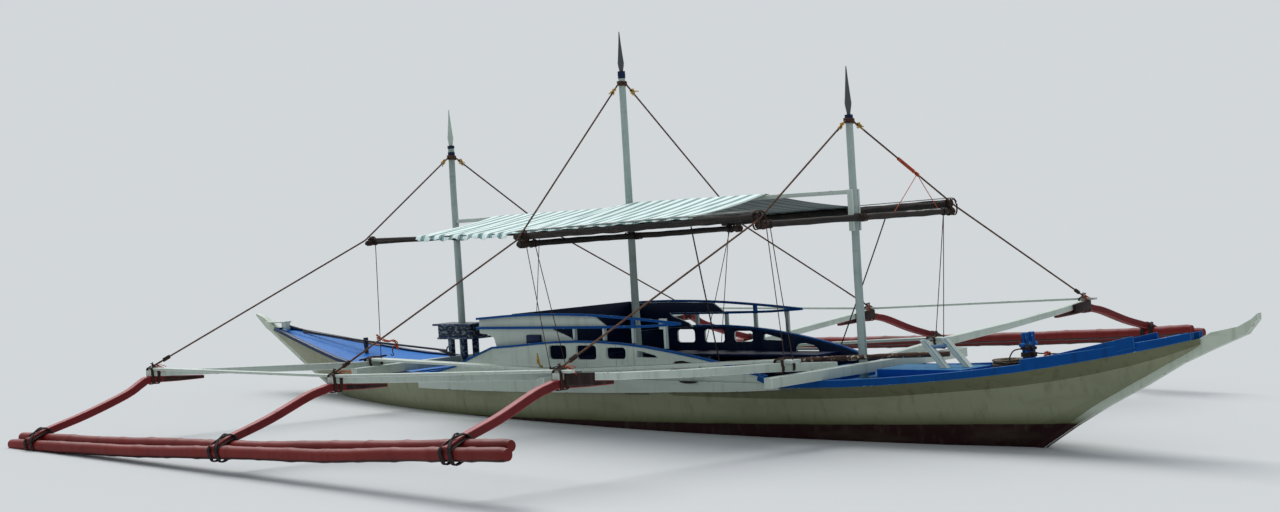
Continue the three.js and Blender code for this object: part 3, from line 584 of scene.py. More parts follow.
# Lighter red on edges: painted highlight with wear.
CRIMSON_EDGE_WEAR_AND_HIGHLIGHT = painted("outrigger red rubbed at the edges", (150, 60, 62), (88, 40, 38), chips=0.4)
# Dark maroon: the cheek blocks' own paint, and painted shade on the arms' tails under the wings.
DARK_MAROON_AND_TAIL_SHADE = painted("dark maroon", (34, 8, 10), (26, 12, 12), chips=0.2)
BOX_PAINT = painted("mast box navy worn to grey", (16, 34, 60), (128, 140, 134), (10, 14, 24), chips=0.75,
                    tone=0.3)
CANE = painted("brick red cane", (124, 30, 26), (96, 44, 34), (66, 16, 16), chips=0.3, runs=0.5, tone=0.5)
# Darker red for the canes' faces turned down: painted shade.
CANE_UNDERSIDE_SHADE = painted("painted shade under the canes", (52, 12, 14), (30, 22, 16), (20, 20, 14), chips=0.3)
# Near black: painted shade in hollows, cane ends, slots and scuppers.
HOLLOW_SHADE = painted("painted shade in hollows", (16, 10, 10), (8, 6, 6))
IRON = painted("dark grey", (52, 56, 62), (92, 80, 66), (26, 26, 26), chips=0.3)
HEAD_GREY = painted("weathered grey head", (84, 88, 92), (56, 54, 50), chips=0.4, tone=0.5)
MAST_PAINT = painted("mast white", (172, 188, 182), (104, 100, 84), (92, 100, 88), chips=0.22, runs=0.7,
                     tone=0.35)

# Bare timber and rope: light and dark of the grain, and how fine it is along each axis
LENGTHWISE = (1.6, 30, 30)
TWISTED = (60, 60, 60)
OLD_PAINT = (104, 100, 82)
BARK = timber("brown pole", (46, 36, 30), (10, 9, 9), LENGTHWISE, flecks=0.2, fleck=OLD_PAINT)
BARK_ACROSS = timber("brown pole athwart", (52, 40, 32), (14, 11, 10), (30, 1.6, 30), flecks=0.2,
                     fleck=OLD_PAINT)
TAN = timber("tan pole", (168, 128, 96), (96, 66, 48), LENGTHWISE)
FLAKED = timber("flaked spar", (104, 70, 48), (44, 28, 20), (3, 30, 30), flecks=0.9)
BATTEN = timber("weathered batten", (196, 200, 192), (120, 116, 104), (1.6, 40, 40))
ROPE = timber("brown rope", (112, 74, 52), (48, 30, 22), TWISTED)
OLD_ROPE = timber("old dark rope", (78, 50, 38), (28, 18, 14), TWISTED)
COIL_ROPE = timber("weathered rope", (128, 108, 82), (34, 26, 20), TWISTED)
ORANGE = timber("orange cord", (222, 92, 48), (120, 40, 22), TWISTED)
TAR = timber("tarred cord", (44, 28, 26), (12, 8, 8), TWISTED)
YELLOW = timber("yellow cord", (222, 178, 74), (142, 98, 30), TWISTED)


def cast_bronze():
    made, tree, shader = material("cast bronze")
    shader["Metallic"].default_value = 1.0
    worn = use(tree, PAINT, Paint=rgb(150, 118, 62), Under=rgb(96, 104, 78), Dirt=rgb(60, 62, 46), Chips=0.5,
               Runs=0.4, Tone=0.3)
    tree.links.new(worn["Color"], shader["Base Color"])
    tree.links.new(worn["Roughness"], shader["Roughness"])
    return made


BRONZE = cast_bronze()
STRIPE = 0.182  # from one stripe to the next
HEM_TAPE = 2.435  # along the cloth, where the tape sewn on its fore edge begins
THREADS = 90.0
FADED = (176, 186, 176)


def striped_cloth(name, pale, teal, green, tape):
    """Woven stripes across the cloth, by its own map in metres: U along the ridge, V from hem to hem."""
    made, tree, shader = material(name)
    cloth_map = add(tree, "UVMap", uv_map="cloth").outputs[0]
    place = add(tree, "TexCoord").outputs["Object"]
    run = add(tree, "SeparateXYZ", {0: cloth_map}).outputs["X"]
    wobble = times(tree, cloud(tree, place, 3.0, 2), 0.02)
    phase = math_node(tree, "FRACT", math_node(tree, "DIVIDE", plus(tree, run, wobble), STRIPE))
    swing = math_node(tree, "ABSOLUTE", minus(tree, phase, 0.5))
    from_line = math_node(tree, "ABSOLUTE", minus(tree, swing, 0.12))
    colour = blend_colour(tree, ramp(tree, swing, 0.21, 0.24), rgb(*teal), rgb(*pale))
    colour = blend_colour(tree, ramp(tree, from_line, 0.035, 0.025), colour, rgb(*green))
    colour = blend_colour(tree, ramp(tree, run, HEM_TAPE, HEM_TAPE + 0.005), colour, rgb(*tape))
    faded = ramp(tree, cloud(tree, place, 1.5, 4), 0.35, 0.8)
    colour = blend_colour(tree, times(tree, faded, 0.35), colour, rgb(*FADED), "MULTIPLY")
    tree.links.new(colour, shader["Base Color"])
    shader["Roughness"].default_value = 0.75
    shader["Sheen Weight"].default_value = 0.15
    threads = {"Vector": cloth_map, "Scale": THREADS}
    warp, weft = [add(tree, "TexWave", threads, bands_direction=way).outputs["Fac"] for way in "XY"]
    bump(tree, plus(tree, warp, weft), 0.25, 0.001, shader)
    return made


CLOTH = striped_cloth("striped cloth", (222, 240, 238), (72, 118, 122), (150, 190, 184), (150, 166, 158))
# The same stripes much darker for the cloth's underside: painted shade.
CLOTH_UNDERSIDE_SHADE = striped_cloth("striped cloth darkened below as painted shade", (84, 112, 108), (4, 30, 32), (34, 68, 66),
                            (34, 54, 52))

# Coil of rope on the foredeck, made fast to the bitts
COIL = {"rope": 0.016, "outer": 0.156, "inner": 0.084, "pitch": 0.018, "layers": 5, "climb": 1 / 6,
        "leaves": (5.1347, -0.055), "lead_rise": 0.02, "tuck": 0.055, "per_turn": 40}


def smooth_step(t):
    t = min(max(t, 0.0), 1.0)
    return t * t * (3 - 2 * t)


def coil_route():
    """From the bitts to the outer turn, in and out in layers, and down into the middle."""
    low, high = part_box("rope_coil")
    centre = (low + high) / 2
    base = low.z + COIL["rope"] / 2 + 0.001
    outer, inner, rise = COIL["outer"], COIL["inner"], COIL["lead_rise"]

    def at(radius, angle, z):
        return Vector((centre.x + radius * math.cos(angle), centre.y + radius * math.sin(angle), z))

    post = Vector((*COIL["leaves"], base + rise))
    away = (post - centre).xy
    lead = math.atan2(away.y, away.x) - math.acos(outer / away.length)
    route = [post.lerp(at(outer, lead, base), k / 6) for k in range(6)]
    for k, point in enumerate(route):
        point.z = base + rise * (1 - smooth_step(k / 5))
    turns = round((outer - inner) / COIL["pitch"])
    for layer in range(COIL["layers"]):
        first, last = (inner, outer) if layer % 2 else (outer, inner)
        for k in range(turns * COIL["per_turn"]):
            done = k / COIL["per_turn"]
            angle = lead - 2 * math.pi * (layer * turns + done)
            lift = COIL["pitch"] * (layer - 1 + smooth_step(done / COIL["climb"])) if layer else 0.0
            route.append(at(first + (last - first) * done / turns, angle, base + lift))
    top = COIL["pitch"] * (COIL["layers"] - 1)
    for k in range(1, 13):
        t = k / 12
        angle = lead - 2 * math.pi * (COIL["layers"] * turns + 0.35 * t)
        route.append(at(inner - COIL["tuck"] * smooth_step(t), angle, base + top * (1 - smooth_step(t))))
    return route


route = even(coil_route(), 0.006)
coil = ropes("rope_coil_laid", [route], COIL["rope"] / 2, COIL_ROPE, ["rope_coil"], step=0.8)
coil_end = ropes("rope_coil_knot", [knot(route[-1] + Vector((0, 0, 0.010)), 0.016)], 0.006, COIL_ROPE)

# Places of the outriggers and the rig, as the solids have them
BOOM_X = {"aft": -2.97, "mid": 0.17, "fore": 3.30}
WING_BACK = 0.094  # a wing's centre behind its boom's
WING_HALF = 0.045
WINGS = {  # rows of |y|, centre z, depth
    "aft": [(0.93, 0.575, 0.084), (1.5, 0.615, 0.084), (2.6, 0.685, 0.074), (3.6, 0.75, 0.066),
            (4.3, 0.80, 0.06)],
    "mid": [(1.13, 0.495, 0.084), (1.5, 0.525, 0.084), (2.6, 0.615, 0.074), (3.6, 0.702, 0.066),
            (4.3, 0.765, 0.06)],
    "fore": [(0.48, 0.56, 0.084), (1.5, 0.64, 0.084), (2.6, 0.70, 0.074), (3.6, 0.775, 0.066),
             (4.3, 0.84, 0.06)]}
FLOAT_RISE = [(-3.5, 0.225), (-1.5, 0.235), (0.0, 0.255), (1.8, 0.305), (3.1, 0.350), (4.0, 0.392)]
DRAWN_IN = [(-3.5, 0.0), (4.0, 0.1)]
CANES = {"inner": (5.58, 0.030, -3.48, 3.89), "outer": (5.70, -0.020, -3.50, 3.97)}  # |y|, lift, x's ends
CANE_R = 0.064
ARMS = {"aft": (0.132, 0.0), "mid": (0.059, 0.05), "fore": (0.060, 0.1)}  # knee's drop, foot ahead of head
HEAD_AT = 4.3  # |y| of an arm's head, under the wing's end
RAIL_TOP = 0.026  # thickness of the rail over the boom heads
BESIDE_HULL = 1.25  # |y| where the side planks cross the wings


def along(rows, x, column=1):
    if x <= rows[0][0]:
        return rows[0][column]
    for a, b in zip(rows, rows[1:]):
        if x <= b[0]:
            return a[column] + (b[column] - a[column]) * (x - a[0]) / (b[0] - a[0])
    return rows[-1][column]


def wing_x(name):
    return BOOM_X[name] - WING_BACK


def wing_top(name, y):
    return along(WINGS[name], y) + along(WINGS[name], y, 2) / 2


def wing_bottom(name, y):
    return along(WINGS[name], y) - along(WINGS[name], y, 2) / 2


def cane_at(cane, x):
    """|y| and z of a cane's centre at x."""
    y, lift, _, _ = CANES[cane]
    return y - along(DRAWN_IN, x), along(FLOAT_RISE, x) + lift


def middle(node):
    low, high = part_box(node)
    return (low + high) / 2


# Timbers whose form is the solid's: merged, eased at the edges and painted face by face
KNUCKLE = [(2.7, 0.265), (3.6, 0.270), (4.4, 0.310), (5.2, 0.370), (5.9, 0.470), (6.5, 0.600), (6.95, 0.740)]
RAIL = {"y": 0.985, "lower": 1.0}
STRAKE_MIDDLE = [(-2.6, 0.367), (0.15, 0.355), (2.86, 0.33)]
STRAKE_TOP_LIFT = [(-2.6, 0.010), (0.0, 0.035), (1.2, 0.045), (2.19, 0.050), (2.86, 0.045)]
STRAKE_FOOT_LIFT = [(-2.6, 0.0), (0.15, 0.012), (1.2, 0.030), (2.19, 0.065), (2.86, 0.100)]
SMALL_HATCH = {"x": 2.95, "half": (0.19, 0.31)}
FORE_HATCH_TOP = 0.60


def dressed(node, slot, *paints, width=0.003, smooth=30, body="root", repaint=(), moved=None):
    """The node's own form with worn edges. Each row of repaint is a test on a face's centre and normal, and
    a paint; moved gives a point's new place."""
    made = bpy.data.objects.new(node + "_finished", nodes[node].data.copy())
    bpy.context.collection.objects.link(made)
    made.data.materials.clear()
    painted_with(only(made), *paints, *[paint for _, paint in repaint])
    open_mesh(made)
    bpy.ops.mesh.remove_doubles(threshold=0.00005)
    bpy.ops.mesh.dissolve_limited(angle_limit=math.radians(0.6))
    close_mesh()
    for vertex in made.data.vertices if moved else ():
        vertex.co = moved(vertex.co)
    for face in made.data.polygons:
        face.material_index = 0
        for k, (test, _) in enumerate(repaint):
            if test(face.center, face.normal):
                face.material_index = len(paints) + k
    if width:
        eased(made, width)
    return piece(made, node + "_finished", [node], body, smooth)


def inward(at, normal):
    return normal.y * at.y < 0 and abs(normal.y) > 0.4


def under_rail(at, normal):
    """The flare between knuckle and rail, forward of the raised strake's middle: it takes painted shade."""
    return at.x > 0.8 and normal.z < -0.1 and at.z > along(KNUCKLE, at.x) + 0.01


def strake_lifted(at):
    """The strake's top stands higher than the solid's, and its foot rises towards the bow."""
    middle_z = along(STRAKE_MIDDLE, at.x)
    lift = along(STRAKE_TOP_LIFT, at.x) if at.z > middle_z else along(STRAKE_FOOT_LIFT, at.x)
    return Vector((at.x, at.y, at.z + lift))


def on_post(at, normal):
    """The handrails' uprights, which are white."""
    return 0.70 < at.z < RAIL["lower"] - 0.015 and abs(abs(at.y) - RAIL["y"]) < 0.03 and at.x < 1.5


def crown(at, normal):
    return normal.z > 0.9


def hatch_side(at, normal):
    """The upright faces of the small hatch on the foredeck."""
    half_long, half_wide = SMALL_HATCH["half"]
    return normal.z < 0.5 and abs(at.x - SMALL_HATCH["x"]) < half_long and abs(at.y) < half_wide


def on_board(at, normal):
    """The raked boards that stand on the fore hatch."""
    return at.z > FORE_HATCH_TOP


for name in BOOM_X:
    dressed(f"boom_{name}", "hull_white", WHITE, WHITE_EDGE_WEAR_AND_HIGHLIGHT, width=0.005)
for side in SIDES:
    dressed(f"head_rail_{side}", "hull_white", WHITE, WHITE_EDGE_WEAR_AND_HIGHLIGHT)
    dressed(f"side_plank_{side}", "hull_white", WHITE, WHITE_EDGE_WEAR_AND_HIGHLIGHT)
    dressed(f"upper_strake_{side}", "hull_white", WHITE, WHITE_EDGE_WEAR_AND_HIGHLIGHT, width=0.004, moved=strake_lifted)
    dressed(f"arch_cap_{side}", "blue_trim", BLUE, BLUE_EDGE_WEAR_AND_HIGHLIGHT)
    dressed(f"handrail_{side}", "blue_trim", BLUE, BLUE_EDGE_WEAR_AND_HIGHLIGHT, repaint=[(on_post, WHITE)])
    dressed(f"cabin_panel_{side}", "hull_white", WHITE, WHITE_EDGE_WEAR_AND_HIGHLIGHT, repaint=[(inward, NAVY)])
    for panel in ("aft", "mid", "next", "wedge", "fore"):
        dressed(f"well_side_{panel}_{side}", "hull_white", WHITE, width=0.0015, repaint=[(inward, NAVY)])
dressed("hull_topsides", "hull_white", HULL_WHITE_PAINTED_SHADE, width=0, smooth=9,
        repaint=[(inward, NAVY), (under_rail, HULL_BAND_PAINTED_SHADE)])
dressed("hull_bottom", "boot_top", BOOT, width=0, smooth=12)
dressed("keel_and_stem", "hull_white", STEM, WHITE_EDGE_WEAR_AND_HIGHLIGHT, width=0.004)
dressed("stern_timber", "hull_white", STEM, WHITE_EDGE_WEAR_AND_HIGHLIGHT, width=0.004)
dressed("stern_gunwales", "blue_trim", NAVY, BLUE_EDGE_WEAR_AND_HIGHLIGHT)
dressed("fore_gunwales", "blue_trim", BLUE, BLUE_EDGE_WEAR_AND_HIGHLIGHT, width=0.004)
dressed("stern_deck", "stern_blue", SKY, width=0.002)
dressed("fore_deck", "deck_aqua", AQUA, width=0.002, repaint=[(hatch_side, DEEP_BLUE)])
dressed("hatch_fore", "blue_trim", DEEP_BLUE, BLUE_EDGE_WEAR_AND_HIGHLIGHT, width=0.004,
        repaint=[(crown, AQUA), (on_board, WHITE)])
dressed("fore_bulkhead", "blue_trim", BLUE, BLUE_EDGE_WEAR_AND_HIGHLIGHT)
dressed("well_floor", "navy_inner", NAVY, NAVY_EDGE_WEAR_AND_HIGHLIGHT)
dressed("engine_block", "dark_iron", IRON)
dressed("mast_box", "navy_inner", BOX_PAINT, NAVY_EDGE_WEAR_AND_HIGHLIGHT)
dressed("bow_bitts", "blue_trim", BLUE, BLUE_EDGE_WEAR_AND_HIGHLIGHT, width=0.006)
for name in ("aft", "fore"):
    dressed(f"ridge_pole_{name}", "hull_white", WHITE, WHITE_EDGE_WEAR_AND_HIGHLIGHT, width=0.005)
dressed("propeller", "bronze", BRONZE, width=0.001, smooth=50, body="propeller")
dressed("rudder", "dark_iron", IRON, width=0.002, smooth=40, body="rudder")

# Floats: crooked cane pairs, each lumpy at its joints and open at its ends


JOINT_STEP = 0.47  # from one joint of a cane to the next


def cane_row(cane, side):
    """Rows of centre and radius along one cane."""
    _, _, start, end = CANES[cane]
    seed = side + 3 * (cane == "outer")
    rows = []
    count = round((end - start) / 0.06)
    for i in range(count + 1):
        x = start + (end - start) * i / count
        y, z = cane_at(cane, x)
        wander = Vector((x * 0.55, seed * 7.3, 0))
        joint = abs((x - start) / JOINT_STEP - round((x - start) / JOINT_STEP)) * JOINT_STEP
        swell = 0.006 * math.exp(-(joint / 0.035) ** 2) + 0.004 * noise.noise(Vector((x * 2.1, seed, 3)))
        taper = min((x - start), (end - x), 0.10) / 0.10
        at = (x, side * y + 0.009 * noise.noise(wander), z + 0.020 * noise.noise(wander + Vector((0, 0, 9))))
        rows.append((at, CANE_R - 0.004 + swell - 0.012 * (1 - taper) ** 2))
    return rows


def arm_rows(name):
    """|y|, centre z, depth and shift ahead of a float's arm, as in the solid, from its tail to its foot."""
    knee, ahead = ARMS[name]
    head = wing_bottom(name, HEAD_AT) - 0.038
    (inner_y, inner_z), (outer_y, outer_z) = [cane_at(cane, wing_x(name) + ahead) for cane in CANES]
    seat = inner_z + CANE_R - 0.001
    return [(3.62, wing_bottom(name, 3.62) - 0.020, 0.036, 0),
            (3.95, wing_bottom(name, 3.95) - 0.030, 0.058, 0),
            (HEAD_AT, head, 0.074, 0),
            (4.4, head - knee / 4, 0.078, 0),
            (4.6, head - knee, 0.078, ahead * 0.2),
            ((4.6 + inner_y) / 2, (head - knee + seat) / 2 - 0.016, 0.078, ahead * 0.6),
            (inner_y, seat, 0.074, ahead),
            (outer_y + 0.06, outer_z + 0.045, 0.068, ahead)]


ARM_HALF = 0.040
# An arm's tail is painted dark out to this |y|: painted shade under the wing.
TAIL_END = 4.12  # |y| up to which an arm's tail is dark


def arm(name, side):
    """A squared timber, drawn out along its rows and rounded, with a painted highlight on its top and painted
    shade on its tail.
    """
    rows = arm_rows(name)
    spots = curved([(shift, y, z) for y, z, _, shift in rows], 4)
    depths = [point.x for point in curved([(depth, 0, 0) for _, _, depth, _ in rows], 4)]
    line = [Vector((wing_x(name) + spot.x, side * spot.y, spot.z)) for spot in spots]
    bpy.ops.mesh.primitive_plane_add(size=1, location=(0, 0, 0), rotation=(math.pi / 2, 0, 0))
    made = settled(bpy.context.object)
    painted_with(made, CRIMSON, CRIMSON_EDGE_WEAR_AND_HIGHLIGHT, CRIMSON_TOP_HIGHLIGHT, DARK_MAROON_AND_TAIL_SHADE)
    open_mesh(made)
    for _ in line[1:]:
        bpy.ops.mesh.extrude_region_move(TRANSFORM_OT_translate={"value": (0, 1, 0)})
    close_mesh()
    for vertex in made.data.vertices:
        i = round(vertex.co.y)
        ahead = line[min(i + 1, len(line) - 1)] - line[max(i - 1, 0)]
        up = Vector((0, -ahead.z, ahead.y)).normalized() * side
        half = ARM_HALF * (0.75 + 0.25 * min(i / 6, 1))
        vertex.co = line[i] + Vector((math.copysign(half, vertex.co.x), 0, 0)) + up * vertex.co.z * depths[i]
    faced_out(made)
    for face in made.data.polygons:
        # The tail under the wing takes the dark maroon: painted shade.
        if abs(face.center.y) < TAIL_END:
            face.material_index = 3
        # Faces turned up take the lighter red: a painted highlight.
        elif face.normal.z > 0.6:
            face.material_index = 2
    return eased(made, 0.008, 3, 40)


FOOT_TURNS = {"round": 4, "apart": 0.058, "crossed": 4, "spacing": 0.012, "over": 0.008}


def foot_lashing(name, side):
    """Tarred turns round the canes to each side of an arm, and crossed turns over its foot."""
    x = wing_x(name) + ARMS[name][1]
    (inner_y, inner_z), (outer_y, outer_z) = [cane_at(cane, x) for cane in CANES]
    centre = Vector((x, side * (inner_y + outer_y) / 2, (inner_z + outer_z) / 2))
    tilt = Vector((0, side * (outer_y - inner_y), outer_z - inner_z)).normalized()
    up = Vector((0, -tilt.z, tilt.y)) * side
    high = CANE_R + FOOT_TURNS["over"]
    wide = (outer_y - inner_y) / 2 + high
    lines = [wound(centre + Vector((shift, 0, 0)), (1, 0, 0), (wide, high), FOOT_TURNS["round"],
                   FOOT_TURNS["spacing"], up=up, start=0.4)
             for shift in (-FOOT_TURNS["apart"], FOOT_TURNS["apart"])]
    path = [(1, -wide, -0.01), (1, -wide, 0.06), (0.8, -0.09, 0.115), (-0.2, 0.02, 0.115),
            (-1, wide - 0.02, 0.08), (-1, wide, -0.01)]
    for turn in range(FOOT_TURNS["crossed"]):
        for lean in (1, -1):
            shift = lean * (0.040 + 0.010 * turn)
            sunk = centre - up * 0.002 * turn
            lines.append(curved([sunk + Vector((k * shift, 0, 0)) + tilt * across + up * rise
                                 for k, across, rise in path], 5))
    return lines


for side_name, side in SIDES.items():
    node = f"float_{side_name}"
    for cane in CANES:
        made = swept(cane_row(cane, side), CANE, sides=8, open_ends=HOLLOW_SHADE, rough=0.004, grain=(4, 14, 14))
        # Faces turned down take the darker red: painted shade under the canes.
        made.data.materials.append(CANE_UNDERSIDE_SHADE)
        for face in made.data.polygons:
            if face.normal.z < -0.55 and face.material_index == 0:
                face.material_index = 2
        piece(made, f"cane_{cane}_{side_name}", [node], smooth=50)
    for name in BOOM_X:
        piece(arm(name, side), f"arm_{name}_{side_name}", [node], smooth=35)
    lines = [line for name in BOOM_X for line in foot_lashing(name, side)]
    ropes(f"foot_lashings_{side_name}", lines, 0.0062, TAR, strands=0, step=1.8)

# Masts with carved heads and painted bands
MAST_FOOT_R = 0.045
MAST_NECK_R = 0.037
MASTS = {  # neck, widest and tip z; head paint; bands of z and half height
    "aft": (3.11, 3.235, 3.58, "white", [(3.02, 0.045), (3.125, 0.018)]),
    "mid": (3.75, 3.865, 4.215, "grey", [(3.735, 0.040)]),
    "fore": (3.05, 3.17, 3.54, "grey", [(3.015, 0.035)])}


CORNER_IN = 0.80  # how far a head's corners stand, to its flats
BAND_PROUD = 0.006


def mast_radius(foot, neck, z):
    return MAST_FOOT_R - (MAST_FOOT_R - MAST_NECK_R) * (z - foot) / (neck - foot)


def carved_head(x, rows, paint):
    """A four-sided spearhead, drawn up from its neck by rows of z and half width."""
    foot_z, foot_r = rows[0]
    bpy.ops.mesh.primitive_circle_add(vertices=8, radius=foot_r, fill_type="NGON", location=(x, 0, foot_z))
    made = painted_with(settled(bpy.context.object), paint)
    open_mesh(made)
    for (z0, w0), (z1, w1) in zip(rows, rows[1:]):
        bpy.ops.mesh.extrude_region_move(TRANSFORM_OT_translate={"value": (0, 0, z1 - z0)})
        bpy.ops.transform.resize(value=(w1 / w0, w1 / w0, 1), center_override=(x, 0, z1))
    close_mesh()
    faced_out(made)
    for vertex in made.data.vertices:
        corner = max(abs(vertex.co.x - x), abs(vertex.co.y))
        if corner > 0.004 and min(abs(vertex.co.x - x), abs(vertex.co.y)) > 0.3 * corner:
            vertex.co.x = x + (vertex.co.x - x) * CORNER_IN
            vertex.co.y *= CORNER_IN
    return eased(made, 0.0015)


for name, (neck, wide, tip, head, bands) in MASTS.items():
    low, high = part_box(f"mast_{name}")
    x = (low.x + high.x) / 2
    foot = low.z
    count = 44
    rows = [((x + 0.004 * noise.noise(Vector((z, x, 0))), 0.004 * noise.noise(Vector((z, x, 5))), z),
             mast_radius(foot, neck, z) * (1 + 0.03 * noise.noise(Vector((z * 3, x, 9)))))
            for z in (foot + (neck - foot) * k / count for k in range(count + 1))]
    shaft = swept(rows, MAST_PAINT, sides=6, rough=0.0015, grain=(30, 30, 2))
    top = carved_head(x, [(neck - 0.004, 0.026), (neck + 0.018, 0.024), (wide - 0.03, 0.040), (wide, 0.044),
                          (wide + 0.05, 0.037), (tip - 0.12, 0.016), (tip - 0.004, 0.005), (tip, 0.003)],
                      HEAD_GREY if head == "grey" else WHITE)
    rings = [swept([((x, 0, z + h * k / 3), mast_radius(foot, neck, z) + BAND_PROUD - 0.002 * abs(k) / 3)
                    for k in range(-3, 4)], NAVY, sides=6) for z, h in bands]
    piece(joined([shaft, top, *rings]), f"mast_{name}_carved", [f"mast_{name}"], smooth=35)

# Yards, eave logs and the loose spar: barked poles
YARDS = {name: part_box(f"yard_{name}") for name in BOOM_X}


def yard_x(name):
    low, high = YARDS[name]
    return (low.x + high.x) / 2


def yard_z(name):
    low, high = YARDS[name]
    return (low.z + high.z) / 2


def yard_half(name):
    return YARDS[name][1].y


def yard_r(name):
    low, high = YARDS[name]
    return (high.z - low.z) / 2


def yard_top(name):
    return yard_z(name) + yard_r(name)


for name in BOOM_X:
    r, half = yard_r(name), yard_half(name)
    rows = [((yard_x(name), y, yard_z(name) + 0.006 * noise.noise(Vector((y * 1.3, 2, yard_x(name))))),
             r * (0.94 + 0.08 * noise.noise(Vector((y * 4, 5, 1)))))
            for y in (half * (k / 24 - 1) for k in range(49))]
    made = swept(rows, BARK_ACROSS, sides=4, rough=0.005, grain=(24, 5, 24))
    piece(made, f"yard_{name}_pole", [f"yard_{name}"], smooth=50)

EAVE_R = {"thin": 0.018, "thick": 0.046}


def eave_rows(side):
    """The eaves' centre lines as the solids have them: thin pole, then thick log."""
    on = {name: yard_top(name) for name in BOOM_X}
    thick = [(-0.02, 1.665, on["mid"] + EAVE_R["thick"]),
             (yard_x("fore") + 0.008, 1.575, on["fore"] + EAVE_R["thick"])]
    join = on["mid"] + 2 * EAVE_R["thick"] - EAVE_R["thin"] - 0.001
    thin = [(-2.89, 1.34, on["aft"] + EAVE_R["thin"]), (yard_x("aft"), 1.35, on["aft"] + EAVE_R["thin"]),
            (0.0, 1.663, join)]
    return [[Vector((x, side * y, z + 0.0003)) for x, y, z in rows] for rows in (thin, thick)]


def eave_at(x, part):
    """|y| and z of an eave's centre line at x."""
    rows = [tuple(p) for p in eave_rows(1)[part]]
    return along(rows, x, 1), along(rows, x, 2)


for side_name, side in SIDES.items():
    thin, thick = eave_rows(side)
    stick = swept([(p, EAVE_R["thin"] * (0.93 + 0.1 * noise.noise(p * 3))) for p in even(thin, 0.07)],
                  BARK, sides=3)
    log = swept([(p + Vector((0, 0, -0.004 * abs(noise.noise(p * 2)))),
                  EAVE_R["thick"] * (0.93 + 0.12 * noise.noise(p * 2.5))) for p in even(thick, 0.05)],
                BARK, sides=6, rough=0.011, grain=(6, 30, 30))
    piece(joined([stick, log]), f"eave_{side_name}_log", [f"eave_pole_{side_name}"],
          smooth=60)

SPAR_R = 0.028
low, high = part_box("fore_spar")
spar = [Vector((low.x + 0.01, low.y + 0.03, 0.5979)), Vector((high.x - 0.01, high.y - 0.03, 0.638))]
rows = [(p + Vector((0, 0, 0.004 * noise.noise(p * 1.5))), SPAR_R * (0.95 + 0.08 * noise.noise(p * 4)))
        for p in even(spar, 0.06)]
piece(swept(rows, FLAKED, sides=5, rough=0.003, grain=(6, 30, 30)), "fore_spar_pole",
      ["fore_spar"], smooth=50)

# Canopies: striped cloths laid from the eaves over the ridge poles
CLOTH_T = 0.003
SAG = 0.020
RIPPLE = 0.0035
HEM_OUT = (0.032, 0.006)  # how far a hanging hem stands out, and its wave
HEM_SHARE = 0.95  # of the half width, from the ridge to where the hem turns down


def canopy(name, node, hem, ridge, lean, drop, grid, hole=None):
    """One cloth over the ridge. hem(side, t) and ridge(t) are its edges, t from 0 aft to 1 forward.
    For each side, lean is how far its stripes run aft on the way up to the ridge, and where they begin.
    drop is the hang of its hem; hole is the centre and radius of a mast's hole."""
    runs, rows = grid
    bpy.ops.mesh.primitive_grid_add(x_subdivisions=runs, y_subdivisions=rows, size=2, location=(0, 0, 0))
    made = painted_with(bpy.context.object, CLOTH)
    uv = made.data.uv_layers.new(name="cloth")
    spots, sides = {}, {}
    for vertex in made.data.vertices:
        t, v = (vertex.co.x + 1) / 2, vertex.co.y
        side = 1 if v > 0 else -1
        reach = min(abs(v) / HEM_SHARE, 1.0)
        over = max(abs(v) - HEM_SHARE, 0.0) / (1 - HEM_SHARE)
        top, edge = ridge(t), hem(side, t)
        at = top.lerp(edge, reach)
        belly = 4 * reach * (1 - reach) * (0.75 + 0.25 * math.cos(2 * math.pi * t * 3))
        ripple = RIPPLE * math.sin(2 * math.pi * (at.x - 0.25 * (1 - reach)) / (STRIPE * 2)) * reach
        at.z += ripple - SAG * belly
        out, wave = HEM_OUT
        at.y += side * (out * smooth_step(over) + wave * over * math.sin(at.x * 21) * (drop > 0.03))
        at.z -= drop * over ** 2 * (1 + 0.22 * math.sin(at.x * 17 + side) + 0.12 * math.sin(at.x * 41))
        sides[vertex.index] = side
        along_cloth = at.x + lean[side][0] * (1 - reach) + lean[side][1]
        spots[vertex.index] = (along_cloth, (at - top).length + drop * over)
        vertex.co = at
    for loop in made.data.loops:
        uv.data[loop.index].uv = spots[loop.vertex_index]
    if hole:
        centre, radius = hole
        pick(made, lambda face: (face.center.xy - centre).length < radius)
        bpy.ops.mesh.delete(type="FACE")
        close_mesh()
    solid = only(made).modifiers.new("weave", "SOLIDIFY")
    solid.thickness = CLOTH_T
    solid.offset = 1.0
    bpy.ops.object.modifier_apply(modifier=solid.name)
    painted_with(made, CLOTH_UNDERSIDE_SHADE)
    # Faces turned down take the darker stripes: painted shade under the canopy.
    for face in made.data.polygons:
        face.material_index = int(face.normal.z < -0.1)
    piece(made, name, [node], smooth=50)
    reach = [max(spots[v][1] for v in spots if sides[v] == side) for side in (1, -1)]


def on_eave(x, part, side, lift):
    """A point on top of an eave pole."""
    y, z = eave_at(x, part)
    return Vector((x, side * y, z + EAVE_R["thick" if part else "thin"] + lift))


def between_ends(ends, t):
    return ends[0] + (ends[1] - ends[0]) * t


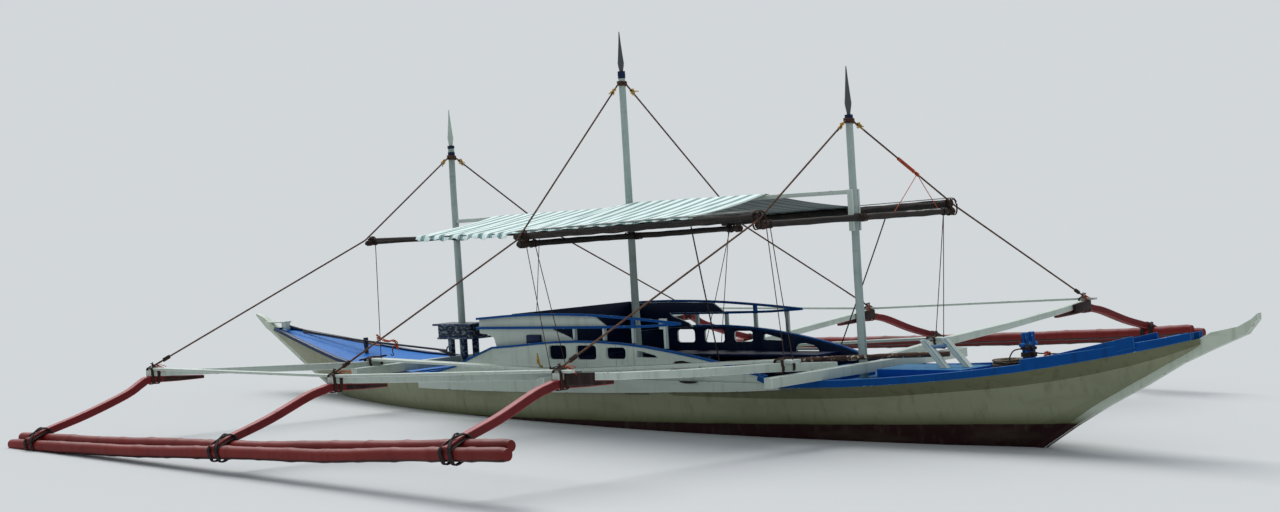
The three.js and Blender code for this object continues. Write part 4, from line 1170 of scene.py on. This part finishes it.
AFT_HEM = (-1.88, -0.16)
AFT_RIDGE = (Vector((-2.15, 0, 2.252)), -0.30)
LIFT = 0.003  # a cloth's middle over the pole it lies on
plane = [on_eave(AFT_HEM[0], 0, 1, 0.0006), on_eave(AFT_HEM[1], 0, 1, 0.0006), AFT_RIDGE[0]]
slope = (plane[1] - plane[0]).cross(plane[2] - plane[0])
aft_end_z = plane[2].z - (slope.x * (AFT_RIDGE[1] - plane[2].x)) / slope.z
canopy("canopy_aft_cloth", "canopy_aft",
       lambda side, t: on_eave(between_ends(AFT_HEM, t), 0, side, LIFT),
       lambda t: AFT_RIDGE[0].lerp(Vector((AFT_RIDGE[1], 0, aft_end_z)), t) + Vector((0, 0, LIFT)),
       lean={1: (0.27, 0.0), -1: (0.27, 0.0)}, drop=0.055, grid=(72, 64))

FORE_HEM = {1: (-0.145, 1.95), -1: (-0.145, 2.47)}
FORE_RIDGE = [(-0.285, aft_end_z), (0.15, 2.306), (2.06, 2.303)]


def fore_ridge(t):
    x = between_ends((FORE_RIDGE[0][0], FORE_RIDGE[-1][0]), t)
    return Vector((x, 0, along(FORE_RIDGE, x) + 0.004))


canopy("canopy_fore_cloth", "canopy_fore",
       lambda side, t: on_eave(between_ends(FORE_HEM[side], t), 1, side, LIFT), fore_ridge,
       lean={1: (-0.11, 0.52), -1: (0.41, 0.0)}, drop=0.018, grid=(104, 66), hole=(Vector((0.07, 0)), 0.062))

# Stays: laid ropes from the mast bands over the yard ends to the boom heads, with their lashings
STAY_R = 0.011
BAND_Z = {"aft": 3.0, "mid": 3.64, "fore": 2.99}
STAY_AHEAD = {"aft": 0.0, "mid": 0.0, "fore": 0.03}
HEAD_Y = 4.245
MAST_X = {name: middle(f"mast_{name}").x for name in BOOM_X}
LASH_R = 0.0060
LASH_STEP = 0.0125
HEAD_RAIL_Y = 4.275
ARM_DEEP = 0.078  # depth of an arm under its wing's end
SIDE_PLANK = {"y": 1.32, "thick": 0.028}
MAST_KNOTS = {"share": 0.055, "sizes": (0.046, 0.036), "tail": 0.055}  # share of the way to the yard
SEIZING = {"share": 0.94, "turns": 7}  # share of the way from the yard to the boom's head
HEAD_KNOT = {"size": 0.042, "lift": 0.022, "tail": 0.10}
BAND_TURNS = {"count": 3, "spacing": 0.017, "out": 0.0115}


def stay_top(name, side):
    """Where a stay leaves its mast."""
    return Vector((MAST_X[name], side * (MAST_NECK_R + 0.016), BAND_Z[name]))


def stay_bend(name, side):
    """Where a stay bends over its yard's end."""
    return Vector((yard_x(name) + STAY_AHEAD[name], side * (yard_half(name) + 0.010), yard_top(name) + 0.014))


def crossing(at, along_axis, half, apart, turns=3, square=4):
    """A lashing where one bar lies over another: turns to each side of it and crossed turns over it."""
    at, axis = Vector(at), Vector(along_axis).normalized()
    side = axis.cross(Vector((0, 0, 1))).normalized()
    lines = [wound(at + axis * shift, axis, half, turns, LASH_STEP, start=0.3 * k, square=square)
             for k, shift in enumerate((-apart, apart))]
    for lean in (1, -1):
        for k in range(2):
            shift = axis * (lean * (apart + 0.006) - lean * 0.012 * k)
            lift = Vector((0, 0, half[1] + 0.004 + 0.005 * (lean > 0)))
            out = side * half[0]
            lines.append(curved([at - shift - out + lift * 0.6, at - shift * 0.5 - out * 0.5 + lift,
                                 at + shift * 0.5 + out * 0.5 + lift, at + shift + out + lift * 0.6], 4))
    return lines


lashings = []
knots = []
yellow_knots = []
for name in BOOM_X:
    x = MAST_X[name]
    head_top = wing_top(name, HEAD_RAIL_Y) + RAIL_TOP
    legs = []
    for side in SIDES.values():
        start, bend = stay_top(name, side), stay_bend(name, side)
        end = Vector((wing_x(name), side * HEAD_Y, head_top + STAY_R + 0.004))
        legs.append(even([start, bend], 0.02)[:-1] + even([bend, end], 0.02))
        on_stay = start.lerp(bend, MAST_KNOTS["share"])
        large, small = MAST_KNOTS["sizes"]
        yellow_knots.append(knot(on_stay, large, turn=side))
        yellow_knots.append(knot(on_stay + Vector((0.012, 0, 0.014)), small, turn=side + 1))
        yellow_knots.extend(tuft(on_stay, (0.2, side, -0.3), MAST_KNOTS["tail"], 6, 0.7))
        round_yard = yard_r(name) + LASH_R
        lashings.append(wound((yard_x(name), side * (yard_half(name) - 0.045), yard_z(name)), (0, 1, 0),
                              (round_yard, round_yard), 4, LASH_STEP, square=2.4))
        lashings.append(knot(end + Vector((0, 0, HEAD_KNOT["lift"])), HEAD_KNOT["size"], turn=side + x))
        round_stay = (STAY_R + LASH_R, STAY_R + LASH_R)
        lashings.append(wound(bend.lerp(end, SEIZING["share"]), end - bend, round_stay, SEIZING["turns"],
                              LASH_STEP, square=2))
        knots.extend(tuft(end + Vector((0.03, -side * 0.03, 0.01)), (0.6, -side * 0.5, -0.2),
                          HEAD_KNOT["tail"], 6))
        low_z = wing_bottom(name, 4.25) - ARM_DEEP
        lashings.extend(crossing((wing_x(name), side * HEAD_Y, (low_z + head_top) / 2), (0, 1, 0),
                                 (WING_HALF + 0.007, (head_top - low_z) / 2 + 0.006), 0.034))
        plank_top = wing_top(name, SIDE_PLANK["y"]) + SIDE_PLANK["thick"]
        low_z = wing_bottom(name, BESIDE_HULL)
        at = (wing_x(name), side * BESIDE_HULL, (low_z + plank_top) / 2 + 0.002)
        lashings.extend(crossing(at, (0, 1, 0), (WING_HALF + 0.007, (plank_top - low_z) / 2 + 0.008), 0.082))
    band_r = MAST_NECK_R + BAND_TURNS["out"]
    band = wound((x, 0, BAND_Z[name]), (0, 0, 1), (band_r, band_r), BAND_TURNS["count"],
                 BAND_TURNS["spacing"], up=(1, 0, 0), square=2)
    ropes(f"stay_ropes_{name}", [*legs, band], STAY_R, ROPE, [f"stays_{name}"])
    mast_at = Vector(((x + yard_x(name)) / 2, 0, yard_z(name)))
    around = (abs(yard_x(name) - x) / 2 + MAST_FOOT_R + yard_r(name), MAST_FOOT_R + 0.012)
    lashings.extend(wound(mast_at, (0, 0.35 * lean, 1), around, BAND_TURNS["count"], BAND_TURNS["spacing"],
                          up=(0, 1, 0), square=3)
                    for lean in (1, -1))
for name, part in (("aft", 0), ("mid", 1), ("fore", 1)):
    for side in SIDES.values():
        r = EAVE_R["thick" if part else "thin"]
        y, z = eave_at(yard_x(name) - (0.012 if name == "fore" else 0), part)
        lashings.extend(crossing((yard_x(name), side * y, (z + yard_z(name)) / 2), (0, 1, 0),
                                 (yard_r(name) + 0.004, r + yard_r(name) + 0.004), r + 0.006, 2, square=2.6))
ropes("lashings", lashings, LASH_R, OLD_ROPE, step=1.8)
ropes("head_knots", knots, 0.0045, ORANGE, step=2.2)
ropes("mast_knots", yellow_knots, 0.0065, YELLOW, step=2.0)

# Small fittings on the hull and the rig
CHEEK = {"y": (3.91, 4.25), "deep": 0.11, "thick": 0.04, "at": [("fore", -1), ("fore", 1), ("mid", 1)]}
VENT = {"x": (-0.677, -0.452), "y": (0.972, 1.004), "z": (0.822, 0.921)}
BATTENS = {"x": (-0.02, 3.24), "lift": 0.012, "wide": 0.036, "thick": 0.010}
FISH = {"y": (0.040, 0.062), "half": 0.033, "z": (1.88, 2.30)}


def cheek(name, side):
    """A blunt dark block on the fore face of a wing, by its head."""
    x = wing_x(name) + WING_HALF + CHEEK["thick"] / 2
    ends = [(x, side * y, wing_top(name, y) - CHEEK["deep"] / 2 + 0.004) for y in CHEEK["y"]]
    return board(*ends, CHEEK["thick"], CHEEK["deep"], DARK_MAROON_AND_TAIL_SHADE, ease=0.008)


piece(joined([cheek(*at) for at in CHEEK["at"]]), "cheek_blocks", smooth=35)
for side_name, side in SIDES.items():
    vent = side_block(side, VENT["x"], VENT["y"], VENT["z"], NAVY, ease=0.012)
    piece(vent, f"vent_box_{side_name}", smooth=35)
    ends = [on_eave(x, 1, side, BATTENS["lift"]) for x in BATTENS["x"]]
    batten = board(*ends, BATTENS["wide"], BATTENS["thick"], BATTEN, ease=0.002)
    piece(batten, f"canopy_batten_{side_name}")
fish_x = (MAST_X["fore"] - FISH["half"], MAST_X["fore"] + FISH["half"])
fishes = [side_block(side, fish_x, FISH["y"], FISH["z"], WHITE, WHITE_EDGE_WEAR_AND_HIGHLIGHT) for side in SIDES.values()]
piece(joined(fishes), "mast_fore_fishes")

# Hull side: a sill and a slot in painted shade at each half-moon port, a scupper under it with painted shade
# in its hollow, the gunwale's slanted end
SILL = {"x": (1.50, 1.90), "y": (1.012, 1.047), "z": (0.573, 0.600)}
SLOT = {"x": (1.51, 1.89), "y": (1.0285, 1.0105), "z": 0.556, "thick": 0.006, "deep": 0.018}
SCUPPER = {"x": (1.66, 1.92), "z": 0.452, "deep": 0.026, "y": 1.083, "half": 0.006}
GUNWALE_END = {"x": (2.69, 2.93), "y": (1.045, 1.045), "z": (0.492, 0.421), "thick": 0.030, "deep": 0.055}


def side_board(side, at, *paints, ease=0.003):
    """An upright board along one side of the hull, between two ends."""
    z = at["z"] if isinstance(at["z"], tuple) else (at["z"], at["z"])
    ends = [(x, side * y, height) for x, y, height in zip(at["x"], at["y"], z)]
    return board(*ends, at["thick"], at["deep"], *paints, ease=ease)


def half_disc(side):
    """A scupper's shallow half-round hollow, flat edge up, painted dark as shade."""
    bpy.ops.mesh.primitive_cylinder_add(vertices=28, radius=1, depth=1, rotation=(math.pi / 2, 0, 0))
    made = painted_with(settled(bpy.context.object), HOLLOW_SHADE)
    low, high = SCUPPER["x"]
    for vertex in made.data.vertices:
        x, across, height = vertex.co
        vertex.co = ((low + high) / 2 + x * (high - low) / 2, side * SCUPPER["y"] + across * SCUPPER["half"],
                     SCUPPER["z"] + min(height, 0) * SCUPPER["deep"])
    return made


for side_name, side in SIDES.items():
    sill = side_block(side, SILL["x"], SILL["y"], SILL["z"], WHITE, WHITE_EDGE_WEAR_AND_HIGHLIGHT, ease=0.003)
    piece(sill, f"half_moon_sill_{side_name}")
    piece(side_board(side, SLOT, HOLLOW_SHADE, ease=0.001), f"half_moon_slot_{side_name}")
    piece(side_board(side, GUNWALE_END, BLUE, BLUE_EDGE_WEAR_AND_HIGHLIGHT), f"gunwale_end_{side_name}")
    piece(half_disc(side), f"scupper_{side_name}", smooth=0)

# Stern: a spare pole beside the tiller and an old orange line, made fast to it
SPARE_POLE = [(-6.18, 0.10, 0.885), (-4.60, 0.115, 0.70)]
ORANGE_LINE = [(-4.42, -0.03, 0.800), (-4.34, -0.045, 0.775), (-4.24, -0.05, 0.762), (-4.16, -0.05, 0.772),
               (-4.09, -0.045, 0.738), (-4.14, -0.05, 0.70), (-4.17, -0.05, 0.655)]
HOOK = [(-4.17, -0.05, 0.66), (-4.165, -0.05, 0.63), (-4.15, -0.05, 0.60), (-4.18, -0.05, 0.585),
        (-4.20, -0.05, 0.605)]
LOOSE_PLANK = [(-4.12, -0.62, 0.585), (-3.86, -0.40, 0.625)]
spare = [(p + Vector((0, 0.006 * noise.noise(p), 0.006 * noise.noise(p * 2))), 0.017 - 0.004 * k / 40)
         for k, p in enumerate(even(SPARE_POLE, 0.04))]
piece(swept(spare, TAN, sides=4, rough=0.002, grain=(6, 30, 30)), "spare_pole",
      body="rudder", smooth=50)
rag = curved(ORANGE_LINE, 6)
second = [p + Vector((0.012, 0.012, 0.010)) for p in rag[4:-6]]
rag_lines = [rag, second, *tuft(rag[0], (-0.6, 0, 0.4), 0.07), *tuft(rag[-10], (0.7, -0.1, -0.2), 0.06)]
ropes("orange_line", rag_lines, 0.0095, ORANGE, body="rudder", step=1.8)
piece(swept([(p, 0.006) for p in curved(HOOK, 5)], IRON, sides=3), "iron_hook", body="rudder",
      smooth=60)
piece(board(*LOOSE_PLANK, 0.05, 0.022, NAVY, NAVY_EDGE_WEAR_AND_HIGHLIGHT), "loose_plank")

# Bow: washboards beside the gunwales, a line with loops round the bitts and its orange knot
WASHBOARD = {"x": (5.416, 6.40), "y": (0.30, 0.215), "z": (0.575, 0.775), "thick": 0.022, "deep": 0.105}
BITT = {"x": 5.16, "y": 0.055, "half": 0.034, "loops": [(0.640, 3), (0.700, 2)], "spacing": 0.014}
BITT_LINES = [
    ([(5.16, -0.09, 0.72), (5.24, -0.11, 0.74), (5.285, -0.10, 0.68), (5.27, -0.09, 0.615),
      (5.19, -0.09, 0.605)], 6),
    ([(5.13, -0.09, 0.70), (5.06, -0.11, 0.68), (5.02, -0.12, 0.61), (5.05, -0.13, 0.56)], 6),
    ([(5.19, -0.02, 0.66), (5.36, -0.01, 0.648), (5.70, 0.0, 0.655), (6.10, 0.0, 0.735)], 8)]
BOW_KNOTS = [((5.36, -0.01, 0.652), 0.036), ((5.385, -0.01, 0.648), 0.030, 1.2)]
for side_name, side in SIDES.items():
    piece(side_board(side, WASHBOARD, BLUE, BLUE_EDGE_WEAR_AND_HIGHLIGHT), f"washboard_{side_name}")
bitt_lines = [wound((BITT["x"], side * BITT["y"], z), (0, 0.05, 1), (BITT["half"], BITT["half"]), count,
                    BITT["spacing"], up=(1, 0, 0), square=6)
              for side in SIDES.values() for z, count in BITT["loops"]]
bitt_lines.extend(curved(points, spans) for points, spans in BITT_LINES)
ropes("bitt_lines", bitt_lines, 0.0075, OLD_ROPE, step=1.6)
bow_knot = [knot(*row) for row in BOW_KNOTS]
bow_knot.extend(tuft((5.37, -0.01, 0.65), (0.3, -0.8, -0.3), 0.06))
ropes("bow_line_knot", bow_knot, 0.007, ORANGE, step=1.8)

# A board of painted shade behind the near half-moon port, for its dark inside; the far one is open
HALF_MOON_SHADE_BOARD = {"x": (1.46, 1.92), "y": (1.000, 0.976), "z": 0.595, "thick": 0.004, "deep": 0.135}
piece(side_board(-1, HALF_MOON_SHADE_BOARD, HOLLOW_SHADE, ease=0.001), "half_moon_shade_board")

# Small things: a ring by the mast box, a frayed tail on the plank, a block on the rail, a stern plank
TAIL = {"at": (-0.246, -1.25, 0.746), "knot": (-0.198, -1.25, 0.60), "length": 0.12}
RAIL_BLOCK = ((1.34, -0.995, 0.975), (1.44, -0.965, 1.085))
STERN_PLANK = ((-6.75, -0.10, 1.015), (-6.33, 0.02, 1.035))
STERN_FOOT = ((-6.42, -0.08, 0.93), (-6.33, 0.0, 1.016))
RING = {"at": (-2.67, -0.45, 0.668), "along": (0.2, 0.3, 1), "radii": (0.075, 0.083, 0.091)}
ring = [wound(RING["at"], RING["along"], (r, r), 1, 0.02, up=(1, 0, 0), square=2) for r in RING["radii"]]
ropes("black_ring", ring, 0.009, TAR, step=1.6)
tail = [*tuft(TAIL["at"], (0.2, 0, -1.0), TAIL["length"], 5, 0.2), knot(TAIL["knot"], 0.03)]
ropes("yellow_tail", tail, 0.006, YELLOW, step=1.8)
piece(block(*RAIL_BLOCK, WHITE, WHITE_EDGE_WEAR_AND_HIGHLIGHT, ease=0.006), "rail_block")
stern_plank = block(*STERN_PLANK, WHITE, WHITE_EDGE_WEAR_AND_HIGHLIGHT)
piece(joined([stern_plank, block(*STERN_FOOT, WHITE)]), "stern_plank")

# Navy board across the well between the cabin panels
BACK_BOARD = ((-0.942, -0.948, 0.575), (-0.918, 0.948, 1.152))
piece(block(*BACK_BOARD, NAVY, NAVY_EDGE_WEAR_AND_HIGHLIGHT, ease=0.004), "cabin_back_board")

# Light lines that steady the yards and the canopy
DROP_R = 0.0045
DROPS = [("aft", 0.06, 0.0), ("mid", 0.03, 0.10), ("mid", -0.22, 0.02), ("fore", 0.02, 0.05),
         ("fore", -0.08, 0.02)]  # yard, how far ahead its foot stands, how far in from the yard's end
CANOPY_ROPE = {"x": 2.42, "foot": (2.15, 0.99, 0.625), "sag": 0.012, "r": 0.009}
WRAPPED = {"centre": 0.51, "turns": 34, "low_end": 0.615}  # places as shares of the stay above the yard
drops, dark_drops, red_lines = [], [], []
for side in SIDES.values():
    for name, ahead, inboard in DROPS:
        top = (yard_x(name) + ahead * 0.2, side * (yard_half(name) - 0.13 - inboard), yard_z(name))
        foot = (wing_x(name) + 0.09 + ahead, side * BESIDE_HULL, wing_top(name, BESIDE_HULL) + 0.03)
        round_yard = yard_r(name) + DROP_R
        drops.append(hanging(top, foot, 0.01))
        drops.append(knot((foot[0], foot[1], foot[2] + 0.015), 0.02, turn=ahead))
        drops.append(wound(top, (0, 1, 0), (round_yard, round_yard), 3, 0.010, square=2))
    y, z = eave_at(CANOPY_ROPE["x"], 1)
    x_foot, y_foot, z_foot = CANOPY_ROPE["foot"]
    top = (CANOPY_ROPE["x"], side * y, z - EAVE_R["thick"])
    dark_drops.append(hanging(top, (x_foot, side * y_foot, z_foot), CANOPY_ROPE["sag"]))
wrapped_top, wrapped_foot = stay_top("fore", 1), stay_bend("fore", 1)
stay_run = wrapped_foot - wrapped_top
wrap_r = STAY_R + 0.004
red_lines.append(wound(wrapped_top.lerp(wrapped_foot, WRAPPED["centre"]), stay_run, (wrap_r, wrap_r),
                       WRAPPED["turns"], 0.0085, square=2))
wrap_end = wrapped_top.lerp(wrapped_foot, WRAPPED["low_end"])
for y in (0.573, 1.34):
    red_lines.append(hanging(wrap_end, (yard_x("fore"), y, yard_top("fore")), 0.004))
red_lines.append(wound(wrap_end, stay_run, (wrap_r + 0.001, wrap_r + 0.001), 5, 0.010, square=2))
ropes("drop_lines", drops, DROP_R, OLD_ROPE, strands=0, step=2.4)
ropes("canopy_ropes", dark_drops, CANOPY_ROPE["r"], TAR, step=2.2)
ropes("red_yard_lines", red_lines, 0.004, ORANGE, strands=0, step=2.4)

# Soft light, and the water's level as a pale floor that runs into a backdrop of its own brightness
FLOOR_RADIUS = 420
FLOOR_COLOUR = (0.56, 0.575, 0.585)
SKY_COLOUR = (0.84, 0.90, 0.96)
SKY_STRENGTH = 0.55
SUN = {"energy": 2.85, "angle": 45, "colour": (1.0, 0.99, 0.97), "toward": (0.35, -0.75, -1.0)}

bpy.ops.mesh.primitive_circle_add(vertices=96, radius=FLOOR_RADIUS, fill_type="NGON")
floor = bpy.context.object
floor.name = "floor"
up = Vector((-WATER_SLOPE[0], -WATER_SLOPE[1], 1)).normalized()
right = Vector((0, 1, 0)).cross(up).normalized()
placed(floor, right, up.cross(right), up, (0, 0, WATER_Z))
bpy.ops.object.light_add(type="SUN")
sun = bpy.context.object
sun.name = "soft_overhead"
sun.data.energy = SUN["energy"]
sun.data.angle = math.radians(SUN["angle"])
sun.data.color = SUN["colour"]
toward = in_boat(SUN["toward"]).normalized()
sun.matrix_world = (-toward).to_track_quat("Z", "Y").to_matrix().to_4x4()
FLOOR, tree, shader = material("pale floor")
shader["Base Color"].default_value = (*FLOOR_COLOUR, 1)
shader["Roughness"].default_value = 1.0
shader["Specular IOR Level"].default_value = 0.0
floor.data.materials.append(FLOOR)
world = bpy.data.worlds.new("studio")
world.use_nodes = True
tree = world.node_tree
seen = [tone * (sky * SKY_STRENGTH + SUN["energy"] * hue * -toward.dot(up) / math.pi)
        for tone, sky, hue in zip(FLOOR_COLOUR, SKY_COLOUR, SUN["colour"])]
ambient = (*(c * SKY_STRENGTH for c in SKY_COLOUR), 1)
shown = blend_colour(tree, add(tree, "LightPath").outputs["Is Camera Ray"], ambient, (*seen, 1))
tree.links.new(shown, tree.nodes["Background"].inputs["Color"])
bpy.context.scene.world = world
bpy.context.scene.view_settings.view_transform = "Standard"
